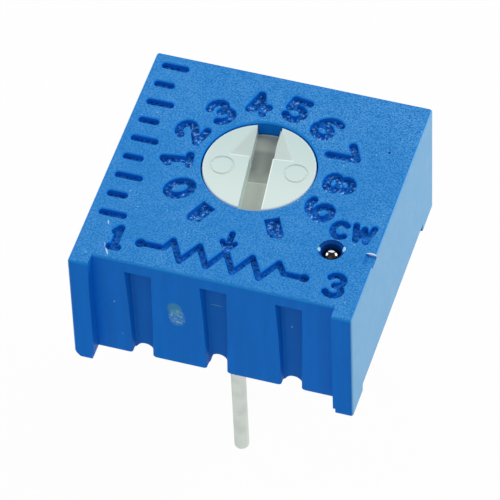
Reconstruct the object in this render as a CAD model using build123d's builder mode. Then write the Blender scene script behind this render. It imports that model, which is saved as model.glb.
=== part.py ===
"""Single-turn cermet trimmer potentiometer with three leads and a screwdriver slot on top.

Millimetres. +Z is up and z = 0 is the board that the corner feet stand on. The origin is the
axis of terminal 2, the middle lead, where it enters the board; X runs along the front face.
"""

from build123d import *
import os
from math import atan2, cos, degrees, hypot, radians, sin, sqrt

# ---------------------------------------------------------------- housing, outside
body_width = 9.53  # X
body_depth = 9.53  # Y
body_height = 4.83  # board to top face
corner_round = 0.12
top_edge_round = 0.13

front_recess = 0.50  # front wall set back between the two corner posts
post_width = 0.685
recess_edge_round = 0.25
groove_pitch = 2.54
groove_width = 0.72
groove_depth = 0.24
groove_below_top = 0.50
notch_width = 0.62
outer_notch_height = 0.52  # board to the crown of the two outer wire notches
middle_notch_height = 0.80

foot_width = 0.605
foot_length = 1.13
front_wall_lift = 0.25  # front and back walls end this far above the board
side_wall_lift = 0.40

# ---------------------------------------------------------------- housing, inside
side_wall = 0.565
front_wall = 0.40  # behind the grooves
pocket_corner = 0.30
ledge = 0.35  # step that the ceramic substrate seats on
contact_room = 0.55  # height of the square room above the substrate

# ---------------------------------------------------------------- element and seal
substrate_thickness = 0.635
substrate_underside = 1.10
substrate_clearance = 0.05
film = 0.05
track_radius = 1.90
track_width = 0.70
track_end_angle = 153.0  # from the middle of the travel
end_pad_angle = 163.0
end_trace_radius = 2.575
end_trace_width = 0.35
collector_radius = 0.70
collector_trace = 0.50
epoxy_thickness = 0.65

# ---------------------------------------------------------------- leads
front_to_middle_lead = 2.54
back_to_outer_leads = 1.91
lead_pitch = 2.54  # outer leads, either side of the middle one
lead_diameter = 0.51
lead_length = 6.35  # below the board
lead_tip_round = 0.12
lead_above_film = 0.12
lead_round_top = 0.30  # the round wire ends here, and is coined square above
lead_coin_depth = 0.055  # taken off each side where the wire is square
lead_hole_clearance = 0.03
pad_skirt = 0.245  # pad round each lead
solder_skirt = 0.165  # solder round each lead
solder_height = 0.26

# ---------------------------------------------------------------- rotor
rotor_diameter = 3.75
rotor_clearance = 0.045  # radial, in the hole in the top
back_to_rotor = 3.965
rotor_sink = 0.04  # rotor face below the top face
rotor_edge_round = 0.06
rest_angle = 7.0  # the arrow stands this far anticlockwise of the middle of its travel
slot_width = 0.76
slot_depth = 0.48
arrow_depth = 0.25
arrow_base = 0.41  # from the axis towards the tip
arrow_base_half = 1.09
arrow_tip_half = 0.45
ejector_radius = 0.375
ejector_x = 1.22
ejector_y = -0.13
ejector_depth = 0.03

flange_gap = 0.62  # substrate to flange
flange_thickness = 0.65
flange_shoulder = 0.20
seal_cord = 0.50
seal_clearance = 0.02
ceiling_clearance = 0.08
lug_height = 0.30
lug_clearance = 0.075
lug_half_angle = 11.5
stop_half_angle = 13.0

peg_radius = 0.20
peg_head_radius = 0.32
peg_head_height = 0.12
peg_x = 1.05
carrier_thickness = 0.15
carrier_radius = 1.50
carrier_hole_clearance = 0.02
arm_width = 1.00
dimple_radius = 0.42
dimple_tip_radius = 0.18
contact_clearance = 0.02
finger_count = 4
finger_width = 0.12
finger_pitch = 0.18
finger_thickness = 0.08
finger_reach = 0.95
finger_flat = 0.16  # end of each finger that lies along the track
brush_strip_width = 0.32

# ---------------------------------------------------------------- vent and marks
ball_diameter = 0.68
vent_from_right = 1.475
vent_from_front = 2.735
vent_passage_radius = 0.25
vent_mouth_chamfer = 0.09
ball_sink = 0.13
mark_depth = 0.18
mark_stroke = 0.20
bar_angle = 27.0  # travel-end bars, from the front of the rotor
bar_width = 0.50
bar_gap = 0.38  # rotor hole to bar
bar_front = 2.84  # rotor axis to the bars' front ends
symbol_back = 1.365  # front face to the line of the resistor symbol
symbol_half = 2.75
zigzag_start = -1.73
zigzag_step = 0.445
zigzag_half_height = 0.39
zigzag_points = 9
zigzag_lead_in = 0.22
arrow_stem_start = 1.23  # all from the line of the resistor symbol
arrow_stem_end = 0.62
arrow_barb = 0.83
arrow_barb_half = 0.33
arrow_point = 0.40

# ---------------------------------------------------------------- places worked out
front_y = -front_to_middle_lead
back_y = front_y + body_depth
centre_y = (front_y + back_y) / 2
side_x = body_width / 2
rotor_y = back_y - back_to_rotor
outer_lead_y = back_y - back_to_outer_leads
leads = {"1": (-lead_pitch, outer_lead_y), "2": (0, 0), "3": (lead_pitch, outer_lead_y)}
vent_x = side_x - vent_from_right
vent_y = front_y + vent_from_front

recess_y = front_y + front_recess
pocket_x = side_x - side_wall
pocket_front = recess_y + groove_depth + front_wall
pocket_back = back_y - side_wall
pocket_centre = (pocket_front + pocket_back) / 2
pocket_depth = pocket_back - pocket_front

substrate_top = substrate_underside + substrate_thickness
film_top = substrate_top + film
room_top = substrate_top + contact_room
flange_bottom = substrate_top + flange_gap
flange_top = flange_bottom + flange_thickness
ceiling = flange_top + ceiling_clearance
seal_top = flange_top + seal_cord + 2 * seal_clearance
rotor_face = body_height - rotor_sink

lead_radius = lead_diameter / 2
shank_width = lead_diameter - 2 * lead_coin_depth
lead_hole_radius = shank_width / sqrt(2) + lead_hole_clearance
pad_radius = lead_radius + pad_skirt
solder_radius = lead_radius + solder_skirt
rotor_radius = rotor_diameter / 2
rotor_hole_radius = rotor_radius + rotor_clearance
seal_bore_radius = rotor_radius + seal_cord + 2 * seal_clearance
flange_radius = seal_bore_radius + flange_shoulder
lug_radius = flange_radius + lug_height
chamber_radius = lug_radius + lug_clearance
stop_radius = flange_radius + lug_clearance

ball_radius = ball_diameter / 2
ball_z = body_height - ball_sink - ball_radius
vent_step = ball_z - sqrt(ball_radius**2 - vent_passage_radius**2)


def at_rotor(height):
    """Plane square to the rotor axis at a height, with +Y towards the middle of the travel."""
    return Plane(origin=(0, rotor_y, height))


def on_rotor(height):
    """The same plane turned with the rotor, so that +Y is the way its arrow points at rest."""
    turn = radians(rest_angle)
    return Plane(origin=(0, rotor_y, height), x_dir=(cos(turn), sin(turn), 0), z_dir=(0, 0, 1))


def ring_sector(inner, outer, start, end):
    """Face of a ring between two radii and two angles, counted anticlockwise from +X."""
    sweep_angle = end - start
    with BuildSketch() as sector:
        with BuildLine():
            outside = CenterArc((0, 0), outer, start, sweep_angle)
            inside = CenterArc((0, 0), inner, start, sweep_angle)
            Line(outside @ 0, inside @ 0)
            Line(outside @ 1, inside @ 1)
        make_face()
    return sector.sketch


# ---------------------------------------------------------------- housing
with BuildPart() as housing:
    with BuildSketch() as outline:
        with Locations((0, centre_y)):
            Rectangle(body_width, body_depth)
        with Locations((0, front_y)):
            Rectangle(body_width - 2 * post_width, 2 * front_recess, mode=Mode.SUBTRACT)
    extrude(amount=body_height)
    uprights = housing.edges().filter_by(Axis.Z)
    fillet(uprights.filter_by(lambda e: abs(e.center().Y - recess_y) > front_recess / 2), corner_round)
    recess_edge = housing.faces().sort_by(Axis.Z)[-1].edges().filter_by(Axis.X).sort_by(Axis.Y)[-2]
    fillet(recess_edge, recess_edge_round)
    top_edges = housing.faces().sort_by(Axis.Z)[-1].edges()
    fillet(top_edges.filter_by(lambda e: e.center().Y > recess_y + front_recess), top_edge_round)

    # pocket for the substrate and the epoxy, and the square room above it
    with BuildSketch() as pocket:
        with Locations((0, pocket_centre)):
            RectangleRounded(2 * pocket_x, pocket_depth, pocket_corner)
    extrude(amount=substrate_top, mode=Mode.SUBTRACT)
    with BuildSketch(Plane.XY.offset(substrate_top)) as room:
        with Locations((0, pocket_centre)):
            RectangleRounded(2 * (pocket_x - ledge), pocket_depth - 2 * ledge, pocket_corner)
    extrude(amount=contact_room, mode=Mode.SUBTRACT)

    # round chamber with the end stop, seal bore and rotor hole
    with BuildSketch(at_rotor(room_top)) as chamber:
        Circle(chamber_radius)
        stop = ring_sector(stop_radius, chamber_radius, -90 - stop_half_angle, -90 + stop_half_angle)
        add(stop, mode=Mode.SUBTRACT)
    extrude(amount=ceiling - room_top, mode=Mode.SUBTRACT)
    with BuildSketch(at_rotor(ceiling)) as seal_bore:
        Circle(seal_bore_radius)
    extrude(amount=seal_top - ceiling, mode=Mode.SUBTRACT)
    with BuildSketch(at_rotor(seal_top)) as rotor_hole:
        Circle(rotor_hole_radius)
    extrude(amount=body_height - seal_top, mode=Mode.SUBTRACT)

    # vent: ball bore, chamfered mouth, and the passage that the ball closes
    with BuildSketch(Plane.XY.offset(body_height)) as vent_bore:
        with Locations((vent_x, vent_y)):
            Circle(ball_radius)
    extrude(amount=vent_step - body_height, mode=Mode.SUBTRACT)
    with BuildSketch(Plane.XY.offset(body_height)) as vent_mouth:
        with Locations((vent_x, vent_y)):
            Circle(ball_radius + vent_mouth_chamfer)
    extrude(amount=-vent_mouth_chamfer, taper=45, mode=Mode.SUBTRACT)
    with BuildSketch(Plane.XY.offset(vent_step)) as vent_passage:
        with Locations((vent_x, vent_y)):
            Circle(vent_passage_radius)
    extrude(amount=room_top - vent_step, mode=Mode.SUBTRACT)

    # three grooves down the front wall, each ending in a wire notch
    groove_top = body_height - groove_below_top
    for place, notch_height in (
        (-groove_pitch, outer_notch_height),
        (0, middle_notch_height),
        (groove_pitch, outer_notch_height),
    ):
        with BuildSketch() as groove:
            with Locations((place, recess_y)):
                Rectangle(groove_width, 2 * groove_depth)
        extrude(amount=groove_top, mode=Mode.SUBTRACT)
        with BuildSketch(Plane.XZ.offset(-recess_y)) as notch:
            with Locations((place, notch_height - notch_width / 2)):
                Circle(notch_width / 2)
            with Locations((place, (notch_height - notch_width / 2) / 2)):
                Rectangle(notch_width, notch_height - notch_width / 2)
        extrude(amount=-(groove_depth + front_wall), mode=Mode.SUBTRACT)

    # walls lifted off the board between the corner feet
    with BuildSketch() as end_lift:
        with Locations((0, centre_y)):
            Rectangle(body_width - 2 * foot_width, body_depth)
    extrude(amount=front_wall_lift, mode=Mode.SUBTRACT)
    with BuildSketch() as side_lift:
        with Locations((0, centre_y)):
            Rectangle(body_width, body_depth - 2 * foot_length)
    extrude(amount=side_wall_lift, mode=Mode.SUBTRACT)

    # travel-end bars, one at each side of the front of the rotor, cut square at the front
    bar_start = rotor_hole_radius + bar_gap
    lean = radians(bar_angle)
    with BuildSketch(at_rotor(body_height)) as travel_bars:
        for side in (-1, 1):
            with BuildLine():
                corners = []
                for edge in (-bar_width / 2, bar_width / 2):
                    x = side * (bar_start * sin(lean) + edge * cos(lean))
                    y = -bar_start * cos(lean) + edge * sin(lean)
                    foot_x = x + side * (y + bar_front) * sin(lean) / cos(lean)
                    corners.append(((x, y), (foot_x, -bar_front)))
                Polyline(corners[0][0], corners[1][0], corners[1][1], corners[0][1], close=True)
            make_face()
    extrude(amount=-mark_depth, mode=Mode.SUBTRACT)

    # resistor symbol with its wiper arrow
    symbol_plane = Plane(origin=(0, front_y + symbol_back, body_height))
    with BuildSketch(symbol_plane) as symbol:
        with BuildLine():
            zigzag = [
                (zigzag_start + index * zigzag_step, zigzag_half_height * (-1) ** index)
                for index in range(zigzag_points)
            ]
            left_foot = (zigzag_start - zigzag_lead_in, 0)
            right_foot = (zigzag[-1][0] + zigzag_lead_in, 0)
            Polyline((-symbol_half, 0), left_foot, *zigzag, right_foot, (symbol_half, 0))
        trace(line_width=mark_stroke)
        with Locations((-symbol_half, 0), (symbol_half, 0)):
            Circle(0.9 * mark_stroke)
    extrude(amount=-mark_depth, mode=Mode.SUBTRACT)
    with BuildSketch(symbol_plane) as wiper_arrow:
        with BuildLine():
            Line((0, arrow_stem_start), (0, arrow_stem_end))
        trace(line_width=mark_stroke)
        with BuildLine():
            Polyline(
                (-arrow_barb_half, arrow_barb),
                (0, arrow_point),
                (arrow_barb_half, arrow_barb),
                close=True,
            )
        make_face()
    extrude(amount=-mark_depth, mode=Mode.SUBTRACT)

# ---------------------------------------------------------------- rotor
with BuildPart() as rotor:
    with BuildSketch(on_rotor(flange_bottom)) as flange:
        Circle(flange_radius)
        add(ring_sector(flange_radius / 2, lug_radius, 90 - lug_half_angle, 90 + lug_half_angle))
    extrude(amount=flange_thickness)
    with BuildSketch(on_rotor(flange_top)) as stem:
        Circle(rotor_radius)
    extrude(amount=rotor_face - flange_top)
    fillet(rotor.faces().sort_by(Axis.Z)[-1].edges(), rotor_edge_round)

    with BuildSketch(on_rotor(rotor_face)) as driver_slot:
        Rectangle(slot_width, 3 * rotor_radius)
    extrude(amount=-slot_depth, mode=Mode.SUBTRACT)
    with BuildSketch(on_rotor(rotor_face)) as arrow_head:
        with BuildLine():
            Polyline(
                (-arrow_base_half, arrow_base),
                (arrow_base_half, arrow_base),
                (arrow_tip_half, rotor_radius * 1.05),
                (-arrow_tip_half, rotor_radius * 1.05),
                close=True,
            )
        make_face()
    extrude(amount=-arrow_depth, mode=Mode.SUBTRACT)
    with BuildSketch(on_rotor(rotor_face)) as ejector_marks:
        with Locations((-ejector_x, ejector_y), (ejector_x, ejector_y)):
            Circle(ejector_radius)
    extrude(amount=-ejector_depth, mode=Mode.SUBTRACT)

    # two pegs, staked over under the wiper carrier
    with BuildSketch(on_rotor(flange_bottom)) as pegs:
        with Locations((-peg_x, 0), (peg_x, 0)):
            Circle(peg_radius)
    extrude(amount=-carrier_thickness)
    with BuildSketch(on_rotor(flange_bottom - carrier_thickness)) as peg_heads:
        with Locations((-peg_x, 0), (peg_x, 0)):
            Circle(peg_head_radius)
    extrude(amount=-peg_head_height)

# ---------------------------------------------------------------- rotor seal
with BuildPart() as rotor_seal:
    with BuildSketch(Plane.XZ.offset(-rotor_y)) as cord_section:
        cord_centre = rotor_radius + seal_clearance + seal_cord / 2
        with Locations((cord_centre, flange_top + seal_clearance + seal_cord / 2)):
            Circle(seal_cord / 2)
    revolve(axis=Axis((0, rotor_y, 0), (0, 0, 1)))

# ---------------------------------------------------------------- wiper carrier and brush
carrier_bottom = flange_bottom - carrier_thickness
contact_height = film_top + contact_clearance
brush_radius = track_radius + finger_pitch * finger_count / 2
with BuildPart() as wiper_carrier:
    with BuildSketch(on_rotor(carrier_bottom)) as plate:
        Circle(carrier_radius)
        with Locations((0, brush_radius / 2)):
            Rectangle(arm_width, brush_radius)
        with Locations((-peg_x, 0), (peg_x, 0)):
            Circle(peg_radius + carrier_hole_clearance, mode=Mode.SUBTRACT)
    extrude(amount=carrier_thickness)
    # centre dimple that runs on the collector
    with BuildSketch(Plane.XZ.offset(-rotor_y)) as dimple:
        with BuildLine():
            Polyline(
                (0, carrier_bottom + carrier_thickness / 2),
                (dimple_radius, carrier_bottom + carrier_thickness / 2),
                (dimple_radius, carrier_bottom),
                (dimple_tip_radius, contact_height),
                (0, contact_height),
                close=True,
            )
        make_face()
    revolve(axis=Axis((0, rotor_y, 0), (0, 0, 1)))

with BuildPart() as wiper_brush:
    # strip welded under the arm, and fingers that slope down beside it to the track
    with BuildSketch(on_rotor(carrier_bottom - finger_thickness)) as brush_strip:
        with Locations(((arm_width - brush_strip_width) / 2, track_radius)):
            Rectangle(brush_strip_width, finger_pitch * (finger_count - 1) + finger_width)
    extrude(amount=finger_thickness)
    strip_end = arm_width / 2 - brush_strip_width
    tip_end = arm_width / 2 - finger_reach
    first_finger = track_radius - finger_pitch * (finger_count - 1) / 2
    turn = radians(rest_angle)
    for index in range(finger_count):
        radius = first_finger + index * finger_pitch
        finger_plane = Plane(
            origin=(-radius * sin(turn), rotor_y + radius * cos(turn), 0),
            x_dir=(cos(turn), sin(turn), 0),
            z_dir=(sin(turn), -cos(turn), 0),
        )
        with BuildSketch(finger_plane) as finger:
            with BuildLine():
                Polyline(
                    (strip_end, carrier_bottom),
                    (strip_end, carrier_bottom - finger_thickness),
                    (tip_end + finger_flat, contact_height),
                    (tip_end, contact_height),
                    (tip_end, contact_height + finger_thickness),
                    (tip_end + 0.75 * finger_flat, contact_height + finger_thickness),
                    close=True,
                )
            make_face()
        extrude(amount=finger_width / 2, both=True)

# ---------------------------------------------------------------- substrate and films
with BuildPart() as ceramic_substrate:
    with BuildSketch(Plane.XY.offset(substrate_underside)) as tile:
        with Locations((0, pocket_centre)):
            RectangleRounded(
                2 * (pocket_x - substrate_clearance),
                pocket_depth - 2 * substrate_clearance,
                pocket_corner,
            )
        with Locations(*leads.values()):
            Circle(lead_hole_radius, mode=Mode.SUBTRACT)
    extrude(amount=substrate_thickness)

track_inner = track_radius - track_width / 2
track_outer = track_radius + track_width / 2
with BuildPart() as resistive_track:
    with BuildSketch(at_rotor(substrate_top)) as element:
        add(ring_sector(track_inner, track_outer, 90 - track_end_angle, 90 + track_end_angle))
    extrude(amount=film)

with BuildPart() as collector:
    with BuildSketch(Plane.XY.offset(substrate_top)) as collector_film:
        with Locations((0, rotor_y)):
            Circle(collector_radius)
        with Locations((0, rotor_y / 2)):
            Rectangle(collector_trace, rotor_y)
        Circle(pad_radius)
        Circle(lead_hole_radius, mode=Mode.SUBTRACT)
    extrude(amount=film)

end_pads = {}
trace_inner = end_trace_radius - end_trace_width / 2
trace_outer = end_trace_radius + end_trace_width / 2
for number, side in (("1", 1), ("3", -1)):
    lead_x, lead_y = leads[number]
    lead_offset = (lead_x, lead_y - rotor_y)
    lead_angle = degrees(atan2(lead_offset[1], lead_offset[0]))
    pad_angles = sorted((90 + side * track_end_angle, 90 + side * end_pad_angle))
    trace_angles = sorted((lead_angle, 90 + side * end_pad_angle))
    reach = end_trace_radius / hypot(*lead_offset)
    with BuildPart() as end_pad:
        with BuildSketch(at_rotor(substrate_top)) as end_film:
            add(ring_sector(track_inner, trace_outer, *pad_angles))
            add(ring_sector(trace_inner, trace_outer, *trace_angles))
            with BuildLine():
                Line((lead_offset[0] * reach, lead_offset[1] * reach), lead_offset)
            trace(line_width=end_trace_width)
            with Locations(lead_offset):
                Circle(pad_radius)
                Circle(lead_hole_radius, mode=Mode.SUBTRACT)
        extrude(amount=film)
    end_pads[number] = end_pad

# ---------------------------------------------------------------- leads, solder and epoxy
lead_top = film_top + lead_above_film
terminals = {}
solder_joints = {}
for number, (lead_x, lead_y) in leads.items():
    with BuildPart() as terminal:
        with BuildSketch(Plane.XY.offset(-lead_length)) as wire:
            with Locations((lead_x, lead_y)):
                Circle(lead_radius)
        extrude(amount=lead_length + lead_round_top)
        fillet(terminal.faces().sort_by(Axis.Z)[0].edges(), lead_tip_round)
        with BuildSketch(Plane.XY.offset(lead_round_top)) as shank:
            with Locations((lead_x, lead_y)):
                Rectangle(shank_width, shank_width)
        extrude(amount=lead_top - lead_round_top)
    terminals[number] = terminal

    with BuildPart() as solder_joint:
        with BuildSketch(Plane.XZ.offset(-lead_y)) as fillet_section:
            with BuildLine():
                Polyline(
                    (lead_x, film_top),
                    (lead_x + solder_radius, film_top),
                    (lead_x + 0.8 * solder_radius, film_top + 0.6 * solder_height),
                    (lead_x + 0.4 * solder_radius, film_top + solder_height),
                    (lead_x, film_top + solder_height),
                    close=True,
                )
            make_face()
        revolve(axis=Axis((lead_x, lead_y, 0), (0, 0, 1)))
        with BuildSketch(Plane.XY.offset(film_top)) as shank_hole:
            with Locations((lead_x, lead_y)):
                Rectangle(shank_width, shank_width)
        extrude(amount=lead_top - film_top, mode=Mode.SUBTRACT)
    solder_joints[number] = solder_joint

with BuildPart() as epoxy_seal:
    with BuildSketch(Plane.XY.offset(substrate_underside - epoxy_thickness)) as fill:
        with Locations((0, pocket_centre)):
            RectangleRounded(2 * pocket_x, pocket_depth, pocket_corner)
        with Locations(*leads.values()):
            Rectangle(shank_width, shank_width, mode=Mode.SUBTRACT)
    extrude(amount=epoxy_thickness)

with BuildPart() as vent_ball:
    with Locations((vent_x, vent_y, ball_z)):
        Sphere(ball_radius)

# ---------------------------------------------------------------- write the pieces
pieces = {
    "housing": housing,
    "rotor": rotor,
    "rotor_seal": rotor_seal,
    "wiper_carrier": wiper_carrier,
    "wiper_brush": wiper_brush,
    "ceramic_substrate": ceramic_substrate,
    "resistive_track": resistive_track,
    "collector": collector,
    "epoxy_seal": epoxy_seal,
    "vent_ball": vent_ball,
}
for number in leads:
    pieces[f"terminal_{number}"] = terminals[number]
    pieces[f"solder_joint_{number}"] = solder_joints[number]
for number, end_pad in end_pads.items():
    pieces[f"end_pad_{number}"] = end_pad

os.makedirs("parts", exist_ok=True)
for name, piece in pieces.items():
    piece.part.label = name
    export_step(piece.part, f"parts/{name}.step")
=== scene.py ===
"""Looks of a square single-turn trimmer potentiometer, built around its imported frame.

Shapes are modelled in millimetres and scaled to metres when each piece is finished.
"""

from __future__ import annotations
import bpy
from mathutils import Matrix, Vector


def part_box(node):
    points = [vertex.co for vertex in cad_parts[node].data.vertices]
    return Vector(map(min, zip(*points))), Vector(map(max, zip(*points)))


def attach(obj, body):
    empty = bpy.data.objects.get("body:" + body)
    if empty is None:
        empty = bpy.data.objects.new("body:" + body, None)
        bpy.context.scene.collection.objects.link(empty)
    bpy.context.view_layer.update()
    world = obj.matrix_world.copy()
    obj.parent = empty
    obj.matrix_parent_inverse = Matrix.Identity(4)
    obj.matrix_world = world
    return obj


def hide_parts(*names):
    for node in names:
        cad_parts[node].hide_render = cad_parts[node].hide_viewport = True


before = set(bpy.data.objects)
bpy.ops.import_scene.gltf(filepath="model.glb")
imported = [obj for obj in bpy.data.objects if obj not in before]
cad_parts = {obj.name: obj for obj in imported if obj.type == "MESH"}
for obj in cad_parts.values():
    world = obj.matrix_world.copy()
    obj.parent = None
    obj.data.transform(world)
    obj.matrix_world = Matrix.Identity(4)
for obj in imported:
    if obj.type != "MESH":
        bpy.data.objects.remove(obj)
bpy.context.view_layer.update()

import logging
from dataclasses import dataclass, field
from enum import Enum
from math import atan2, cos, hypot, pi, radians, sin, sqrt
from typing import Callable, Protocol, Sequence

import bpy
from mathutils import Matrix, Vector

log = logging.getLogger("trimmer")
MM = 0.001
Point = tuple[float, float]
Triple = tuple[float, float, float]
EdgeTest = Callable[[Sequence[Vector]], bool]


class Body(Enum):
    """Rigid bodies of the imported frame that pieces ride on."""

    CASE = "case"
    ROTOR = "rotor_assembly"


# ------------------------------------------------------------------ shader writing


class Signal:
    """A value in a shader, on which maths is written as Python expressions."""

    def __init__(self, sheet: ShaderSheet, socket: bpy.types.NodeSocket) -> None:
        """Wrap a node's output socket.

        Args:
            sheet: The shader that the socket belongs to.
            socket: The output socket to wrap.
        """
        self.sheet = sheet
        self.socket = socket

    def _maths(self, operation: str, *values: Signal | float) -> Signal:
        """Add a Math node.

        Args:
            operation: The Math node's operation.
            values: Its inputs, in order.

        Returns:
            The node's result.
        """
        return self.sheet.node("ShaderNodeMath", {"operation": operation}, dict(enumerate(values)))

    def __add__(self, other: Signal | float) -> Signal:
        """Sum."""
        return self._maths("ADD", self, other)

    __radd__ = __add__

    def __sub__(self, other: Signal | float) -> Signal:
        """Difference."""
        return self._maths("SUBTRACT", self, other)

    def __rsub__(self, other: float) -> Signal:
        """Difference with a plain number on the left."""
        return self._maths("SUBTRACT", other, self)

    def __mul__(self, other: Signal | float) -> Signal:
        """Product."""
        return self._maths("MULTIPLY", self, other)

    __rmul__ = __mul__

    def at_most(self, other: Signal | float) -> Signal:
        """Smaller of two values."""
        return self._maths("MINIMUM", self, other)

    def size(self) -> Signal:
        """Value without its sign."""
        return self._maths("ABSOLUTE", self)

    def step(self, low: float, high: float) -> Signal:
        """Rise smoothly from 0 to 1.

        Args:
            low: Value at which the result leaves 0.
            high: Value at which the result reaches 1.

        Returns:
            The eased value.
        """
        settings = {"interpolation_type": "SMOOTHSTEP"}
        inputs = {"Value": self, "From Min": low, "From Max": high}
        if low > high:
            inputs = {"Value": self * -1.0, "From Min": -low, "From Max": -high}
        return self.sheet.node("ShaderNodeMapRange", settings, inputs)


@dataclass(frozen=True)
class Scuff:
    """A small rubbed or chipped place on the moulding, or a painted glint that stands in for a highlight on
    the moulding or the steel ball.
    """

    centre: Triple
    half: Triple
    colour: Triple
    strength: float = 0.8
    patchy: float = 0.0
    turn: float = 0.0


class ShaderSheet:
    """One material's or world's node tree, ready to be fed."""

    def __init__(self, name: str, world: bool = False) -> None:
        """Start an empty material or world.

        Args:
            name: Its name.
            world: Whether it is a world.
        """
        self.owner = (bpy.data.worlds if world else bpy.data.materials).new(name)
        self.owner.use_nodes = True
        self.tree = self.owner.node_tree
        self.tree.nodes.clear()
        self.output = self.tree.nodes.new("ShaderNodeOutputWorld" if world else "ShaderNodeOutputMaterial")

    def node(
        self, kind: str, settings: dict | None = None, inputs: dict | None = None, result: str | int = 0
    ) -> Signal:
        """Add any node.

        Args:
            kind: The node's type.
            settings: Its properties, set before its sockets.
            inputs: Socket names or numbers, with a value or a Signal for each.
            result: The output socket that is returned.

        Returns:
            The chosen output.
        """
        node = self.tree.nodes.new(kind)
        for key, value in (settings or {}).items():
            setattr(node, key, value)
        for key, value in (inputs or {}).items():
            socket = node.inputs[key]
            if isinstance(value, Signal):
                self.tree.links.new(value.socket, socket)
            else:
                socket.default_value = value
        return Signal(self, node.outputs[result])

    def coordinates(self, kind: str = "Object") -> Signal:
        """Return texture coordinates of a kind."""
        return self.node("ShaderNodeTexCoord", result=kind)

    def axis(self, vector: Signal, name: str) -> Signal:
        """Return one of a vector's X, Y and Z."""
        return self.node("ShaderNodeSeparateXYZ", inputs={"Vector": vector}, result=name)

    def stretched(self, vector: Signal, scale: Triple) -> Signal:
        """Return a vector with each axis scaled."""
        return self.node("ShaderNodeMapping", inputs={"Vector": vector, "Scale": scale})

    def turned(self, vector: Signal, centre_mm: Triple, angle: float) -> Signal:
        """Turn coordinates back about an upright axis.

        Args:
            vector: The coordinates.
            centre_mm: A point of the axis.
            angle: The turn in radians.

        Returns:
            The turned coordinates.
        """
        centre = tuple(value * MM for value in centre_mm)
        inputs = {"Vector": vector, "Center": centre, "Angle": -angle}
        return self.node("ShaderNodeVectorRotate", {"rotation_type": "Z_AXIS"}, inputs)

    def noise(self, vector: Signal, size_mm: float, detail: float = 3.0, roughness: float = 0.5) -> Signal:
        """Add cloudy noise.

        Args:
            vector: The coordinates, in metres.
            size_mm: Size of its largest blotches.
            detail: Octaves.
            roughness: Strength of the finer octaves.

        Returns:
            A value from 0 to 1.
        """
        inputs = {"Vector": vector, "Scale": 1 / (size_mm * MM), "Detail": detail, "Roughness": roughness}
        return self.node("ShaderNodeTexNoise", inputs=inputs)

    def cells(self, vector: Signal, size_mm: float) -> Signal:
        """Add the distance to the nearest of scattered points.

        Args:
            vector: The coordinates, in metres.
            size_mm: Mean distance between points.

        Returns:
            A distance in cells.
        """
        return self.node("ShaderNodeTexVoronoi", inputs={"Vector": vector, "Scale": 1 / (size_mm * MM)})

    def blob(self, vector: Signal, centre_mm: Triple, half_mm: Triple) -> Signal:
        """Measure how far a point is from a place.

        Args:
            vector: The coordinates, in metres.
            centre_mm: The place.
            half_mm: The lengths along X, Y and Z that count as 1.

        Returns:
            The distance, counted in those lengths.
        """
        scale = [1 / (half * MM) for half in half_mm]
        shift = [-centre / half for centre, half in zip(centre_mm, half_mm)]
        inputs = {"Vector": vector, "Location": shift, "Scale": scale}
        placed = self.node("ShaderNodeMapping", {"vector_type": "POINT"}, inputs)
        return self.node("ShaderNodeVectorMath", {"operation": "LENGTH"}, {0: placed}, "Value")

    def blend(self, factor: Signal | float, low: Signal | Triple, high: Signal | Triple) -> Signal:
        """Mix two colours.

        Args:
            factor: 0 gives the first colour and 1 the second.
            low: The first colour.
            high: The second colour.

        Returns:
            The mixed colour.
        """
        colours = [value if isinstance(value, Signal) else (*value, 1.0) for value in (low, high)]
        inputs = {0: factor, 6: colours[0], 7: colours[1]}
        return self.node("ShaderNodeMix", {"data_type": "RGBA"}, inputs, 2)

    def marked(self, colour: Signal, place: Signal, marks: Sequence[Scuff]) -> Signal:
        """Paint small marks over a colour: scuffs, and painted glints that stand in for highlights.

        Args:
            colour: The colour below.
            place: Object coordinates.
            marks: The marks, first to last.

        Returns:
            The colour with its marks.
        """
        pits = self.noise(place, 0.10, 3.0, 0.65)
        for mark in marks:
            spot = self.turned(place, mark.centre, radians(mark.turn)) if mark.turn else place
            mask = 1.0 - self.blob(spot, mark.centre, mark.half).step(0.7, 1.0)
            if mark.patchy:
                mask = mask * (pits.step(0.52, 0.62) * mark.patchy + (1.0 - mark.patchy))
            colour = self.blend(mask * mark.strength, colour, mark.colour)
        return colour

    def bump(self, height: Signal, depth_mm: float, strength: float = 1.0) -> Signal:
        """Turn a height from 0 to 1 into a surface normal.

        Args:
            height: The height.
            depth_mm: What a height of 1 stands for.
            strength: How much of the relief is used.

        Returns:
            The bumped normal.
        """
        inputs = {"Height": height, "Distance": depth_mm * MM, "Strength": strength}
        return self.node("ShaderNodeBump", inputs=inputs)

    def seen_white(self) -> Signal:
        """Tell which rays should see plain white.

        Returns:
            1 for camera, glossy and transmission rays, 0 for the others.
        """
        kinds = ("Is Camera Ray", "Is Glossy Ray", "Is Transmission Ray")
        camera, glossy, through = (self.node("ShaderNodeLightPath", result=kind) for kind in kinds)
        return (camera + glossy + through).at_most(1.0)

    def close(self, shader: Signal) -> bpy.types.Material | bpy.types.World:
        """Link a shader to the output and return the material or world."""
        self.tree.links.new(shader.socket, self.output.inputs["Surface"])
        return self.owner

    def principled(self, **inputs: Signal | float | Triple) -> bpy.types.Material:
        """Close the material with a Principled shader.

        Args:
            inputs: Its sockets, with underscores for spaces in their names.

        Returns:
            The finished material.
        """
        values = {}
        for key, value in inputs.items():
            name = key.replace("_", " ")
            values[name] = (*value, 1.0) if isinstance(value, tuple) and "Color" in name else value
        return self.close(self.node("ShaderNodeBsdfPrincipled", inputs=values))


# ------------------------------------------------------------------ finishes


class Finish(Protocol):
    """Anything that can write its material."""

    name: str

    def make(self) -> bpy.types.Material:
        """Write the material."""


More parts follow.
